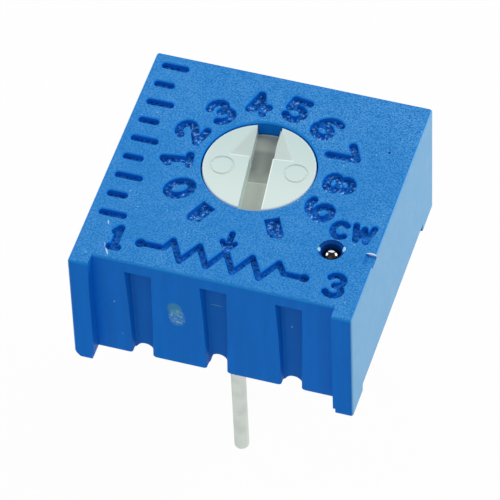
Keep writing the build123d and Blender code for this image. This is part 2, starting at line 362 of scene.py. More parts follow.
@dataclass(frozen=True)
class MouldedBlue:
    """Blue moulded plastic: a matt grained top, smoother walls and rough floors in the engravings, with
    painted shade in the grooves and the vent bore, a painted highlight on the front brow, and painted sheen
    on the side walls and on the top's grain towards the back right.
    """

    top_z: float
    side_x: float
    groove_y: float
    vent: Point
    dial_y: float
    scuffs: tuple[Scuff, ...]
    name: str = "moulded_blue"
    top_colour: Triple = (0.010, 0.176, 0.510)
    grain_light: Triple = (0.085, 0.290, 0.620)
    grain_dark: Triple = (0.006, 0.120, 0.350)
    brow_colour: Triple = (0.014, 0.240, 0.700)
    wall_colour: Triple = (0.003, 0.190, 0.740)
    wall_cloud: Triple = (0.004, 0.150, 0.580)
    side_colour: Triple = (0.200, 0.480, 0.770)
    groove_colour: Triple = (0.002, 0.100, 0.400)
    bore_colour: Triple = (0.002, 0.060, 0.300)
    floor_colour: Triple = (0.004, 0.120, 0.460)
    floor_pit: Triple = (0.002, 0.035, 0.170)
    floor_speck: Triple = (0.260, 0.500, 0.760)
    speck_colour: Triple = (0.42, 0.62, 0.80)
    grain_mm: float = 0.062
    engraving_mm: float = 0.08
    deepest_mm: float = 0.35

    def make(self) -> bpy.types.Material:
        """Write the material.

        Returns:
            The material.
        """
        sheet = ShaderSheet(self.name)
        place = sheet.coordinates()
        height = sheet.axis(place, "Z")
        depth_y = sheet.axis(place, "Y")
        upward = sheet.axis(sheet.coordinates("Normal"), "Z")
        facing_up = upward.step(0.25, 0.70)
        level = upward.step(0.80, 0.95)
        below = 1.0 - height.step((self.top_z - self.engraving_mm) * MM, (self.top_z - 0.05) * MM)
        above = height.step((self.top_z - self.deepest_mm) * MM, (self.top_z - 0.30) * MM)
        floor = below * above * level
        # painted shade: the three grooves in the front wall get darker towards their floors
        groove_shade = depth_y.step((self.groove_y - 0.22) * MM, (self.groove_y - 0.06) * MM)
        groove_shade = groove_shade * (1.0 - depth_y.step((self.groove_y + 0.02) * MM, (self.groove_y + 0.05) * MM))
        groove_shade = groove_shade * (1.0 - upward.step(-0.3, 0.3))

        grain = sheet.noise(place, self.grain_mm, 3.0, 0.70)
        patch = sheet.noise(place, 0.26, 3.0, 0.6)
        coarse = sheet.noise(place, 0.45, 2.0)
        cloud = sheet.noise(place, 2.4, 3.0)
        pits = sheet.noise(place, 0.10, 3.0, 0.65)
        drawn = sheet.noise(sheet.stretched(place, (1.0, 1.0, 0.08)), 0.35, 3.0)

        streaks = drawn.step(0.3, 0.7) * 0.5 + grain.step(0.35, 0.65) * 0.3
        wall = sheet.blend(streaks, self.wall_colour, self.wall_cloud)
        wall = sheet.blend(groove_shade * 0.9, wall, self.groove_colour)
        # painted sheen: both side walls are painted paler, standing in for their glancing reflection
        side_sheen = sheet.axis(place, "X").size().step((self.side_x - 0.06) * MM, (self.side_x - 0.02) * MM)
        wall = sheet.blend(side_sheen * (0.90 + drawn * 0.10), wall, self.side_colour)
        # painted sheen: the top's grain gets more contrast towards the back right
        far = depth_y.step(-1.0 * MM, 6.0 * MM) * sheet.axis(place, "X").step(-5.0 * MM, 3.0 * MM)
        texture = grain * 0.85 + patch * 0.15
        speckle = texture.step(0.43, 0.60) * (0.40 + cloud.step(0.3, 0.7) * 0.35 + far * 0.25)
        top = sheet.blend(speckle, self.top_colour, self.grain_light)
        dark = 1.0 - texture.step(0.37, 0.49)
        top = sheet.blend(dark * (0.45 + far * 0.50), top, self.grain_dark)
        # painted highlight: the rounded front brow between the top and the wall is painted paler
        brow = upward.step(0.10, 0.45)
        colour = sheet.blend(brow * (1.0 - side_sheen), wall, self.brow_colour)
        colour = sheet.blend(upward.step(0.75, 0.97), colour, top)
        rough_floor = sheet.blend(pits.step(0.40, 0.50), self.floor_pit, self.floor_colour)
        dial = 1.0 - sheet.blob(place, (0.0, self.dial_y, self.top_z), (3.55, 3.55, 9.0)).step(0.98, 1.05)
        rough_floor = sheet.blend(pits.step(0.56, 0.68) * (0.15 + dial * 0.85), rough_floor, self.floor_speck)
        floor = floor * (1.0 - sheet.axis(place, "X").step(4.30 * MM, 4.36 * MM))
        colour = sheet.blend(floor, colour, rough_floor)
        specks = (1.0 - sheet.cells(place, 0.30).step(0.05, 0.10)) * level
        specks = specks * sheet.noise(place, 1.3, 0.0).step(0.50, 0.60)
        colour = sheet.blend(specks * 0.55, colour, self.speck_colour)
        # painted shade inside the vent's bore
        bore = 1.0 - sheet.blob(place, (*self.vent, self.top_z), (0.46, 0.46, 9.0)).step(0.92, 0.99)
        colour = sheet.blend(bore * (1.0 - upward.step(0.85, 0.95)), colour, self.bore_colour)
        colour = sheet.marked(colour, place, self.scuffs)

        rough = 0.36 + facing_up * 0.14 + coarse.step(0.3, 0.7) * 0.06 + floor * 0.10
        relief = grain * (0.25 + facing_up * 0.75) + pits * floor * 1.6
        normal = sheet.bump(relief, 0.012, 0.9)
        return sheet.principled(
            Base_Color=colour,
            Roughness=rough,
            Normal=normal,
            Specular_IOR_Level=0.05,
        )


@dataclass(frozen=True)
class RotorPlastic:
    """White moulded plastic with a faint green cast, with painted shade on the slot's floor, on the
    arrowhead's facets and towards the back of the face, and painted highlights along its edges.
    """

    axis_y: float
    turn: float
    face_z: float
    slot_half: float
    slot_depth: float
    base_y: float
    base_half: float
    slant: float
    rim: float
    name: str = "rotor_plastic"
    colour: Triple = (0.590, 0.685, 0.650)
    shade: Triple = (0.460, 0.580, 0.570)
    facet: Triple = (0.400, 0.490, 0.460)
    slot_colour: Triple = (0.460, 0.500, 0.440)
    slot_shade: Triple = (0.180, 0.205, 0.190)
    edge_colour: Triple = (0.800, 0.860, 0.830)

    def make(self) -> bpy.types.Material:
        """Write the material.

        Returns:
            The material.
        """
        sheet = ShaderSheet(self.name)
        place = sheet.turned(sheet.coordinates(), (0.0, self.axis_y, 0.0), self.turn)
        across = sheet.axis(place, "X").size()
        along = sheet.axis(place, "Y") - self.axis_y * MM
        height = sheet.axis(place, "Z")
        cloud = sheet.noise(place, 0.9, 3.0)
        grain = sheet.noise(place, 0.07, 2.0)
        rounds = sheet.blob(place, (0.0, self.axis_y, self.face_z), (self.rim, self.rim, 9.0))
        slot_z = self.face_z - self.slot_depth
        head = height.step((slot_z - 0.05) * MM, (slot_z - 0.04) * MM)
        in_slot = 1.0 - across.step((self.slot_half - 0.03) * MM, (self.slot_half + 0.005) * MM)
        sunk = 1.0 - height.step((slot_z + 0.02) * MM, (self.face_z - 0.22) * MM)
        sunk = sunk * in_slot * head

        # painted shade: the face darkens towards its back, with a cloudy tone over it
        colour = sheet.blend(along.step(-1.6 * MM, 1.4 * MM) * 0.75 + cloud * 0.25, self.colour, self.shade)
        # painted shade: the arrowhead's sunken facets are darker than the face
        beyond = along - self.base_y * MM
        drift = (across + beyond * self.slant).step((self.base_half - 0.10) * MM, self.base_half * MM)
        arrow = (1.0 - drift) * beyond.step(0.0, 0.02 * MM) * (1.0 - in_slot) * head
        colour = sheet.blend(arrow * 0.75, colour, self.facet)
        # painted shade on the slot's floor: darker than the face, darker still behind the step, a little less
        # near the far end
        back = along.step(-0.32 * MM, -0.26 * MM) * (0.40 + along.step(-0.3 * MM, 0.5 * MM) * 0.6)
        back = back - along.step(0.95 * MM, 1.25 * MM) * 0.5
        floor = sheet.blend(back + cloud * 0.15, self.slot_colour, self.slot_shade)
        colour = sheet.blend(sunk, colour, floor)
        # painted highlights: pale lines along the arrowhead's base, the slot's right edge, the slot floor's
        # step and the face's rim
        cross = 1.0 - (along + 0.29 * MM).size().step(0.012 * MM, 0.035 * MM)
        base = 1.0 - beyond.size().step(0.015 * MM, 0.040 * MM)
        base = base * (1.0 - across.step((self.base_half - 0.12) * MM, self.base_half * MM)) * (1.0 - in_slot)
        side = sheet.axis(place, "X") - (self.slot_half + 0.01) * MM
        side = (1.0 - side.size().step(0.015 * MM, 0.035 * MM)) * (1.0 - along.step(0.40 * MM, 0.42 * MM))
        side = side * height.step((self.face_z - 0.06) * MM, (self.face_z - 0.04) * MM)
        rim = rounds.step(0.955, 0.985) * head
        edge = base * 0.9 + side * 0.8 + cross * sunk * 0.35 + rim * 0.35
        colour = sheet.blend(edge.at_most(1.0), colour, self.edge_colour)
        return sheet.principled(
            Base_Color=colour,
            Roughness=0.36 + cloud * 0.12,
            Normal=sheet.bump(grain + cloud * 0.5, 0.006, 0.7),
            Specular_IOR_Level=0.35,
        )


@dataclass(frozen=True)
class Metal:
    """A metal with streaks along one axis and cloudy tarnish."""

    name: str
    colour: Triple
    tarnish: Triple
    roughness: float = 0.35
    streak: Triple = (1.0, 1.0, 0.06)
    metallic: float = 1.0
    marks: tuple[Scuff, ...] = ()

    def make(self) -> bpy.types.Material:
        """Write the material.

        Returns:
            The material.
        """
        sheet = ShaderSheet(self.name)
        place = sheet.coordinates()
        streaks = sheet.noise(sheet.stretched(place, self.streak), 0.05, 3.0)
        cloud = sheet.noise(place, 0.6, 3.0)
        colour = sheet.blend(cloud.step(0.35, 0.75) * 0.6, self.colour, self.tarnish)
        colour = sheet.marked(colour, place, self.marks)
        return sheet.principled(
            Base_Color=colour,
            Metallic=self.metallic,
            Roughness=self.roughness + streaks * 0.12 + cloud * 0.10,
            Normal=sheet.bump(streaks, 0.006, 0.6),
        )


@dataclass(frozen=True)
class Cast:
    """A dull solid such as epoxy, rubber, fired ceramic or a printed film."""

    name: str
    colour: Triple
    patch: Triple
    roughness: float
    grain_mm: float = 0.15
    depth_mm: float = 0.01

    def make(self) -> bpy.types.Material:
        """Write the material.

        Returns:
            The material.
        """
        sheet = ShaderSheet(self.name)
        place = sheet.coordinates()
        cloud = sheet.noise(place, 1.1, 3.0)
        grain = sheet.noise(place, self.grain_mm, 3.0)
        colour = sheet.blend(cloud.step(0.3, 0.7) * 0.7, self.colour, self.patch)
        return sheet.principled(
            Base_Color=colour,
            Roughness=self.roughness + grain * 0.12,
            Normal=sheet.bump(grain + cloud * 0.6, self.depth_mm, 0.8),
        )


@dataclass(frozen=True)
class StudioSheet:
    """Pale floor that keeps a soft shadow and shows nearly white."""

    name: str = "studio_sheet"
    colour: Triple = (0.70, 0.70, 0.70)
    glow: float = 0.965

    def make(self) -> bpy.types.Material:
        """Write the material.

        Returns:
            The material.
        """
        sheet = ShaderSheet(self.name)
        place = sheet.coordinates()
        mottle = sheet.noise(place, 30.0, 2.0)
        colour = sheet.blend(mottle * 0.3, self.colour, (0.68, 0.68, 0.68))
        diffuse = sheet.node("ShaderNodeBsdfDiffuse", inputs={"Color": colour})
        white = sheet.node("ShaderNodeEmission", inputs={"Color": (1.0, 1.0, 1.0, 1.0), "Strength": 1.0})
        seen = sheet.seen_white() * self.glow
        return sheet.close(sheet.node("ShaderNodeMixShader", inputs={0: seen, 1: diffuse, 2: white}))


# ------------------------------------------------------------------ modelling bench


def deselect_all() -> None:
    """Leave nothing selected."""
    bpy.ops.object.select_all(action="DESELECT")


def choose(piece: bpy.types.Object) -> None:
    """Make one object the only selected one, and active.

    Args:
        piece: The object.
    """
    deselect_all()
    piece.select_set(True)
    bpy.context.view_layer.objects.active = piece


def fresh(name: str) -> bpy.types.Object:
    """Name the primitive that was just added and apply its place.

    Args:
        name: The object's name.

    Returns:
        The object, at the origin with its place in its mesh.
    """
    piece = bpy.context.object
    piece.name = name
    bpy.ops.object.transform_apply(location=True, rotation=True, scale=True)
    return piece


def block(name: str, low: Triple, high: Triple) -> bpy.types.Object:
    """Add a box between two corners.

    Args:
        name: The object's name.
        low: Its lowest corner.
        high: Its highest corner.

    Returns:
        The box.
    """
    deselect_all()
    centre = [(a + b) / 2 for a, b in zip(low, high)]
    bpy.ops.mesh.primitive_cube_add(size=1, location=centre, scale=[b - a for a, b in zip(low, high)])
    return fresh(name)


def drum(
    name: str, centre: Point, radius: float, low: float, high: float, sides: int = 96
) -> bpy.types.Object:
    """Add an upright cylinder.

    Args:
        name: The object's name.
        centre: Its axis, as X and Y.
        radius: Its radius.
        low: Height of its bottom.
        high: Height of its top.
        sides: Number of sides.

    Returns:
        The cylinder.
    """
    deselect_all()
    place = (centre[0], centre[1], (low + high) / 2)
    bpy.ops.mesh.primitive_cylinder_add(vertices=sides, radius=radius, depth=high - low, location=place)
    return fresh(name)


def select_where(piece: bpy.types.Object, mode: str, test: Callable[[object], bool]) -> int:
    """Enter edit mode with the elements selected that pass a test.

    Args:
        piece: The object to edit.
        mode: VERT, EDGE or FACE.
        test: Takes a vertex's place, an edge's two places, or a face's centre and normal.

    Returns:
        How many were selected.
    """
    choose(piece)
    mesh = piece.data
    for group in (mesh.vertices, mesh.edges, mesh.polygons):
        group.foreach_set("select", [False] * len(group))
    count = 0
    if mode == "VERT":
        for vertex in mesh.vertices:
            vertex.select = test(vertex.co)
            count += vertex.select
    elif mode == "EDGE":
        for edge in mesh.edges:
            ends = [mesh.vertices[index].co for index in edge.vertices]
            edge.select = test(ends)
            count += edge.select
    else:
        for face in mesh.polygons:
            face.select = test((face.center, face.normal))
            count += face.select
    bpy.ops.object.mode_set(mode="EDIT")
    bpy.ops.mesh.select_mode(type=mode)
    return count


def leave_edit() -> None:
    """Go back to object mode."""
    bpy.ops.object.mode_set(mode="OBJECT")


def bevel(piece: bpy.types.Object, width: float, segments: int, test: EdgeTest) -> None:
    """Round the edges that pass a test.

    Args:
        piece: The object to round.
        width: Size of the rounding.
        segments: Steps across it.
        test: Takes an edge's two end places.
    """
    if select_where(piece, "EDGE", test):
        bpy.ops.mesh.bevel(offset=width, segments=segments, affect="EDGES", clamp_overlap=True)
    leave_edit()


def apply_modifier(piece: bpy.types.Object, kind: str, **settings: object) -> None:
    """Add a modifier, set it and apply it.

    Args:
        piece: The object.
        kind: The modifier's type.
        settings: Its properties.
    """
    choose(piece)
    modifier = piece.modifiers.new(kind.lower(), kind)
    for key, value in settings.items():
        setattr(modifier, key, value)
    bpy.ops.object.modifier_apply(modifier=modifier.name)


def combine(piece: bpy.types.Object, tool: bpy.types.Object, operation: str = "DIFFERENCE") -> None:
    """Cut a tool from a piece, or add it, and remove the tool.

    Args:
        piece: The object that is kept.
        tool: The object that shapes it.
        operation: DIFFERENCE, UNION or INTERSECT.
    """
    apply_modifier(piece, "BOOLEAN", object=tool, operation=operation, solver="MANIFOLD")
    bpy.data.objects.remove(tool)


MERGE_MM = 0.0005
FLAT_DEGREES = 0.4


def finish_piece(
    piece: bpy.types.Object,
    body: Body,
    finish: Finish,
    replaces: str,
    smooth: float = 35.0,
    clean: bool = True,
) -> bpy.types.Object:
    """Clean, smooth and scale a piece, dress it and tie it to its body.

    Args:
        piece: The object, modelled in millimetres.
        body: The body that it rides on.
        finish: The finish whose material it gets.
        replaces: The CAD node that it stands for.
        smooth: Largest angle in degrees across which it is shaded smooth.
        clean: Whether points nearer than MERGE_MM and flat faces are merged.

    Returns:
        The finished piece.
    """
    choose(piece)
    bpy.ops.object.mode_set(mode="EDIT")
    bpy.ops.mesh.select_all(action="SELECT")
    if clean:
        bpy.ops.mesh.remove_doubles(threshold=MERGE_MM)
        bpy.ops.mesh.dissolve_limited(angle_limit=radians(FLAT_DEGREES))
    bpy.ops.mesh.normals_make_consistent(inside=False)
    leave_edit()
    bpy.ops.object.shade_smooth_by_angle(angle=radians(smooth))
    apply_modifier(piece, "WEIGHTED_NORMAL", keep_sharp=True, weight=100)
    piece.data.transform(Matrix.Scale(MM, 4))
    piece.data.materials.clear()
    piece.data.materials.append(finish.make())
    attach(piece, body.value)
    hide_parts(replaces)
    triangles = sum(len(face.vertices) - 2 for face in piece.data.polygons)
    log.info("%s: %d triangles on %s", piece.name, triangles, body.value)
    return piece


# ------------------------------------------------------------------ engraving


def arc(centre: Point, radii: Point, start: float, end: float, steps: int) -> list[Point]:
    """List points along an arc of an ellipse.

    Args:
        centre: Its centre.
        radii: Its half width and half height.
        start: First angle in degrees, anticlockwise from the right.
        end: Last angle in degrees.
        steps: Number of straight steps.

    Returns:
        The points.
    """
    angles = [radians(start + (end - start) * index / steps) for index in range(steps + 1)]
    return [(centre[0] + radii[0] * cos(angle), centre[1] + radii[1] * sin(angle)) for angle in angles]


def glyphs() -> dict[str, list[list[Point]]]:
    """Centre lines of the digits and letters, each in a cell from -1 to 1 both ways."""
    six = [arc((0.35, -0.1), (1.2, 1.15), 78, 170, 5), arc((0.0, -0.42), (0.88, 0.58), 0, 360, 14)]
    return {
        "0": [arc((0, 0), (0.85, 1.0), 0, 360, 16)],
        "1": [[(-0.5, 0.6), (0.05, 1.0), (0.05, -1.0)], [(-0.55, -1.0), (0.65, -1.0)]],
        "2": [arc((0, 0.42), (0.85, 0.58), 165, -40, 8) + [(-0.85, -1.0), (0.9, -1.0)]],
        "3": [arc((0, 0.5), (0.8, 0.5), 155, -90, 8), arc((0, -0.5), (0.88, 0.5), 90, -155, 8)],
        "4": [[(0.35, -1.0), (0.35, 1.0), (-0.9, -0.4), (0.95, -0.4)]],
        "5": [[(0.8, 1.0), (-0.65, 1.0), (-0.75, 0.1)] + arc((0, -0.35), (0.88, 0.65), 135, -150, 9)],
        "6": six,
        "7": [[(-0.85, 1.0), (0.85, 1.0), (-0.3, -1.0)]],
        "8": [arc((0, 0.5), (0.72, 0.5), 0, 360, 14), arc((0, -0.48), (0.88, 0.52), 0, 360, 14)],
        "9": [[(-x, -y) for x, y in line] for line in six],
        "C": [arc((0, 0), (0.9, 1.0), 48, 312, 10)],
        "W": [[(-1.0, 1.0), (-0.55, -1.0), (0, 0.7), (0.55, -1.0), (1.0, 1.0)]],
    }


@dataclass
class Engraver:
    """Cuts round-ended strokes into a flat top, with eased rims."""

    top: float
    depth: float = 0.13
    ease: float = 0.035
    sides: int = 20
    tools: list[bpy.types.Object] = field(default_factory=list)
    masters: dict[float, bpy.types.Object] = field(default_factory=dict)

    def _extrude(self, centre: Point, rise: float, factor: float) -> None:
        """Draw the selected face up and widen it.

        Args:
            centre: Centre of the widening.
            rise: How far it goes up.
            factor: How much wider it gets.
        """
        bpy.ops.mesh.extrude_region_move(TRANSFORM_OT_translate={"value": (0, 0, rise)})
        if factor != 1.0:
            bpy.ops.transform.resize(value=(factor, factor, 1), center_override=(*centre, 0))

    def _master(self, width: float) -> bpy.types.Object:
        """Model the tool of one stroke width once, as a round peg at the origin.

        Args:
            width: The stroke's width.

        Returns:
            The peg.
        """
        if width in self.masters:
            return self.masters[width]
        deselect_all()
        floor = self.top - self.depth
        radius = width / 2
        bpy.ops.mesh.primitive_circle_add(
            vertices=self.sides, radius=radius, fill_type="NGON", location=(0, 0, floor)
        )
        peg = fresh("stroke")
        select_where(peg, "FACE", lambda face: True)
        self._extrude((0, 0), self.depth - self.ease, 1.0)
        self._extrude((0, 0), self.ease, (radius + self.ease) / radius)
        self._extrude((0, 0), self.depth, 1.0)
        bpy.ops.mesh.select_all(action="SELECT")
        bpy.ops.mesh.normals_make_consistent(inside=False)
        leave_edit()
        half_step = Matrix.Rotation(pi / 2 + pi / self.sides, 4, "Z")
        peg.data.transform(half_step)
        self.masters[width] = peg
        return peg

    def stroke(self, start: Point, end: Point, width: float) -> bpy.types.Object:
        """Copy the peg and draw half of it out to the stroke's other end.

        Args:
            start: One end of the centre line.
            end: The other end.
            width: The stroke's width.

        Returns:
            The tool.
        """
        master = self._master(width)
        tool = master.copy()
        tool.data = master.data.copy()
        bpy.context.scene.collection.objects.link(tool)
        length = hypot(end[0] - start[0], end[1] - start[1])
        for vertex in tool.data.vertices:
            if vertex.co.x > 0:
                vertex.co.x += length
        turn = atan2(end[1] - start[1], end[0] - start[0])
        tool.data.transform(Matrix.Translation((*start, 0)) @ Matrix.Rotation(turn, 4, "Z"))
        return tool

    def line(self, points: Sequence[Point], width: float) -> None:
        """Add a stroke that follows points, as one tool.

        Args:
            points: The centre line.
            width: The stroke's width.
        """
        pieces = [self.stroke(a, b, width) for a, b in zip(points, points[1:])]
        for other in pieces[1:]:
            combine(pieces[0], other, "UNION")
        self.tools.append(pieces[0])

    def glyph(self, sign: str, centre: Point, size: Point, turn: float, width: float) -> None:
        """Add a digit or letter.

        Args:
            sign: Which one.
            centre: Its centre.
            size: Its overall width and height.
            turn: Its turn in degrees, anticlockwise.
            width: The stroke's width.
        """
        half = ((size[0] - width) / 2, (size[1] - width) / 2)
        angle = radians(turn)
        first = len(self.tools)
        for points in glyphs()[sign]:
            placed = []
            for x, y in points:
                x, y = x * half[0], y * half[1]
                across = centre[0] + x * cos(angle) - y * sin(angle)
                placed.append((across, centre[1] + x * sin(angle) + y * cos(angle)))
            self.line(placed, width)
        for other in self.tools[first + 1 :]:
            combine(self.tools[first], other, "UNION")
        del self.tools[first + 1 :]

    def dot(self, centre: Point, radius: float) -> bpy.types.Object:
        """Make a round tool at a point."""
        return self.stroke(centre, centre, 2 * radius)

    def outline(self, points: Sequence[Point]) -> None:
        """Add a convex outline, cut from a plane by one bisection a side.

        Args:
            points: Its corners, anticlockwise.
        """
        deselect_all()
        floor = self.top - self.depth
        middle = (sum(p[0] for p in points) / len(points), sum(p[1] for p in points) / len(points))
        bpy.ops.mesh.primitive_plane_add(size=8, location=(*middle, floor))
        tool = fresh("outline")
        for (x0, y0), (x1, y1) in zip(points, [*points[1:], points[0]]):
            select_where(tool, "FACE", lambda face: True)
            outward = (y1 - y0, x0 - x1, 0)
            bpy.ops.mesh.bisect(plane_co=(x0, y0, floor), plane_no=outward, clear_outer=True)
            leave_edit()
        select_where(tool, "FACE", lambda face: True)
        self._extrude(middle, self.depth - self.ease, 1.0)
        self._extrude(middle, self.ease, 1.0 + 3 * self.ease)
        self._extrude(middle, self.depth, 1.0)
        bpy.ops.mesh.select_all(action="SELECT")
        bpy.ops.mesh.normals_make_consistent(inside=False)
        leave_edit()
        self.tools.append(tool)

    def cut(self, piece: bpy.types.Object) -> None:
        """Cut every mark into a piece.

        Args:
            piece: The object that is engraved.
        """
        for tool in self.tools:
            combine(piece, tool)
        for master in self.masters.values():
            bpy.data.objects.remove(master)


# ------------------------------------------------------------------ the housing


@dataclass
class Housing:
    """Blue moulded case with corner posts, grooves, notches, vent and engraved marks."""

    side: float
    front: float
    back: float
    top: float
    rotor_y: float

    corner_round: float = 0.10
    top_round: float = 0.06
    foot_round: float = 0.07
    recess: float = 0.50
    recess_round: float = 0.09
    brow_lean: float = 0.075
    post: float = 0.685
    groove_pitch: float = 2.54
    groove_mouth: tuple[float, float] = (0.86, 0.67)
    groove_floor: tuple[float, float] = (0.72, 0.60)
    groove_depth: float = 0.24
    groove_below_top: float = 0.50
    notch_radius: float = 0.285
    notch_heights: tuple[float, float, float] = (0.52, 0.80, 0.52)
    notch_flare: float = 0.20
    lip_round: float = 0.14
    front_wall: float = 0.40
    side_wall: float = 0.565
    foot_width: float = 0.605
    foot_length: float = 1.13
    rear_extra: float = 0.08
    front_lift: float = 0.25
    side_lift: float = 0.40
    pocket_top: float = 1.735
    room_top: float = 2.285
    ceiling: float = 3.085
    seal_top: float = 3.545
    ledge: float = 0.35
    chamber_radius: float = 3.02
    stop_radius: float = 2.72
    stop_half_angle: float = 13.0
    seal_bore: float = 2.415
    hole_radius: float = 1.92
    rim_ease: float = 0.05
    vent_from_right: float = 1.475
    vent_from_front: float = 2.735
    vent_radius: float = 0.34
    vent_chamfer: float = 0.09
    vent_depth: float = 0.75
    mark_depth: float = 0.19
    stroke: float = 0.23
    digit_stroke: float = 0.29
    digit_size: Point = (0.98, 1.14)
    digit_radius: float = 2.74
    digit_start: float = -126.0
    digit_end: float = 118.0
    digits: int = 10
    signs: tuple[tuple[str, Point, Point, float], ...] = (
        ("C", (3.33, -1.125), (0.80, 0.84), 0.23),
        ("W", (4.08, -1.10), (0.84, 0.84), 0.23),
        ("1", (-3.53, -3.38), (0.70, 1.10), 0.28),
        ("3", (3.81, -3.42), (0.84, 1.10), 0.24),
    )
    bar_lean: float = 27.0
    bar_half: float = 0.25
    bar_gap: float = 0.38
    bar_foot: float = 2.84
    bar_trim: float = 0.25
    symbol_ends: Point = (-2.72, 2.78)
    symbol_from_middle: float = -3.40
    symbol_dot: float = 0.18
    zigzag_start: float = -1.73
    zigzag_step: float = 0.445
    zigzag_half: float = 0.39
    ticks: int = 9
    tick_span: Point = (-2.45, 4.25)
    tick_outer: float = -4.32
    tick_inner: Point = (-3.62, -3.86)
    tick_stroke: float = 0.26
    nick_x: float = 4.42
    nick_span: Point = (-2.37, -1.86)
    nick_depth: float = 0.10
    pit: Point = (3.93, 2.50)
    pit_radius: float = 0.045
    pit_depth: float = 0.08
    worn_width: float = 0.26
    worn_height: float = 0.32
    worn_length: float = 1.0

    def _shell(self) -> bpy.types.Object:
        """Block out the case with its rounded outer edges.

        Returns:
            The case.
        """
        case = block("housing_shell", (-self.side, self.front, 0), (self.side, self.back, self.top))
        bevel(case, self.corner_round, 4, lambda ends: abs(ends[0].z - ends[1].z) > 1)
        high = self.top - 0.001
        bevel(case, self.top_round, 4, lambda ends: min(ends[0].z, ends[1].z) > high)
        bevel(case, self.foot_round, 3, lambda ends: max(ends[0].z, ends[1].z) < 0.001)
        return case

    def _recess_tool(self) -> bpy.types.Object:
        """Shape the tool of the set-back front, whose top edge leaves a rounded brow.

        Returns:
            The tool.
        """
        wall = self.front + self.recess
        inner = self.side - self.post
        tool = block("recess", (-inner, self.front - 1, -1), (inner, wall, self.top + 1))
        select_where(tool, "FACE", lambda face: face[1].y > 0.5)
        bpy.ops.mesh.bisect(plane_co=(0, 0, self.top - self.recess_round), plane_no=(0, 0, 1))
        leave_edit()
        steps = 6
        for index in range(1, steps + 1):
            angle = pi / 2 * index / steps
            level = self.top - self.recess_round * (1 - sin(angle))
            if index < steps:
                select_where(tool, "FACE", lambda face: face[1].y > 0.5 and face[0].z > level - 0.6)
                bpy.ops.mesh.bisect(plane_co=(0, 0, level), plane_no=(0, 0, 1))
                leave_edit()
        for vertex in tool.data.vertices:
            rise = vertex.co.z - (self.top - self.recess_round)
            if vertex.co.y > wall - 0.01 and rise > 0:
                share = min(rise / self.recess_round, 1.0)
                vertex.co.y = wall + self.recess_round * (1 - sqrt(1 - share**2))
        for vertex in tool.data.vertices:
            if vertex.co.y > wall - 0.01 and vertex.co.z > 1:
                vertex.co.y -= self.brow_lean
        return tool

    def _cut_front(self, case: bpy.types.Object) -> None:
        """Cut the recess, the three tapered grooves and the wire notches.

        Args:
            case: The case.
        """
        combine(case, self._recess_tool())
        wall = self.front + self.recess
        head = self.top - self.groove_below_top
        for place, notch in zip((-1, 0, 1), self.notch_heights):
            x = place * self.groove_pitch
            combine(case, self._groove_tool(x, wall, head))
            self._cut_notch(case, x, notch)

    def _groove_tool(self, x: float, wall: float, head: float) -> bpy.types.Object:
        """Shape one groove's tool, whose sides lean out and narrow towards the board.

        Args:
            x: Its middle.
            wall: Place of the wall that it is cut in.
            head: Height of its closed end.

        Returns:
            The tool.
        """
        ahead = 0.4
        floor = wall + self.groove_depth
        lean = 1 + ahead / self.groove_depth
        tool = block("groove", (x - 0.5, wall - ahead, 0), (x + 0.5, floor, head))
        for level, mouth, inner in zip((head, 0), self.groove_mouth, self.groove_floor):
            outer = inner + (mouth - inner) * lean
            for y, width in ((floor, inner), (wall - ahead, outer)):
                near = Vector((x, y, level))
                select_where(tool, "VERT", lambda co: abs(co.z - level) < 0.01 and abs(co.y - y) < 0.01)
                bpy.ops.transform.resize(value=(width, 1, 1), center_override=near)
                leave_edit()
        bevel(tool, 0.05, 3, lambda ends: min(ends[0].y, ends[1].y) > floor - 0.01)
        return tool

    def _cut_notch(self, case: bpy.types.Object, x: float, height: float) -> None:
        """Cut one arched wire notch with rounded feet.

        Args:
            case: The case.
            x: Its middle.
            height: Height of its crown above the board.
        """
        near = self.front + self.recess - 0.4
        far = near + 0.4 + self.groove_depth + self.front_wall + 0.05
        middle = height - self.notch_radius
        half, ease = self.notch_radius, self.notch_flare
        arch = self._rod(x, middle, half, near, far)
        level = self.front_lift + ease
        rise = max(0.0, level - middle)
        wide = sqrt((half + ease) ** 2 - rise**2)
        flare_top = min(level, middle + rise * half / (half + ease))
        if middle > self.front_lift:
            combine(arch, block("leg", (x - half, near, -0.5), (x + half, far, middle)), "UNION")
        flare_top = max(flare_top, self.front_lift + 0.02)
        flare = block("flare", (x - wide, near, -0.5), (x + wide, far, flare_top))
        for side in (-1, 1):
            combine(flare, self._rod(x + side * wide, level, ease, near - 1, far + 1))
        combine(arch, flare, "UNION")
        combine(case, arch)
        lip = self.groove_mouth[1] / 2 + self.lip_round
        level = self.front_lift + self.lip_round
        reach = self.front + self.recess + self.groove_depth
        ease = block("lip", (x - lip, near, -0.5), (x + lip, reach, level))
        for side in (-1, 1):
            combine(ease, self._rod(x + side * lip, level, self.lip_round, near - 1, far + 1))
        combine(case, ease)

    @staticmethod
    def _rod(x: float, z: float, radius: float, near: float, far: float) -> bpy.types.Object:
        """Add a round rod that lies front to back.

        Args:
            x: Its axis, across.
            z: Its axis, upwards.
            radius: Its radius.
            near: Its front end.
            far: Its back end.

        Returns:
            The rod.
        """
        deselect_all()
        place = (x, (far + near) / 2, z)
        bpy.ops.mesh.primitive_cylinder_add(
            vertices=48, radius=radius, depth=far - near, location=place, rotation=(pi / 2, 0, 0)
        )
        return fresh("rod")

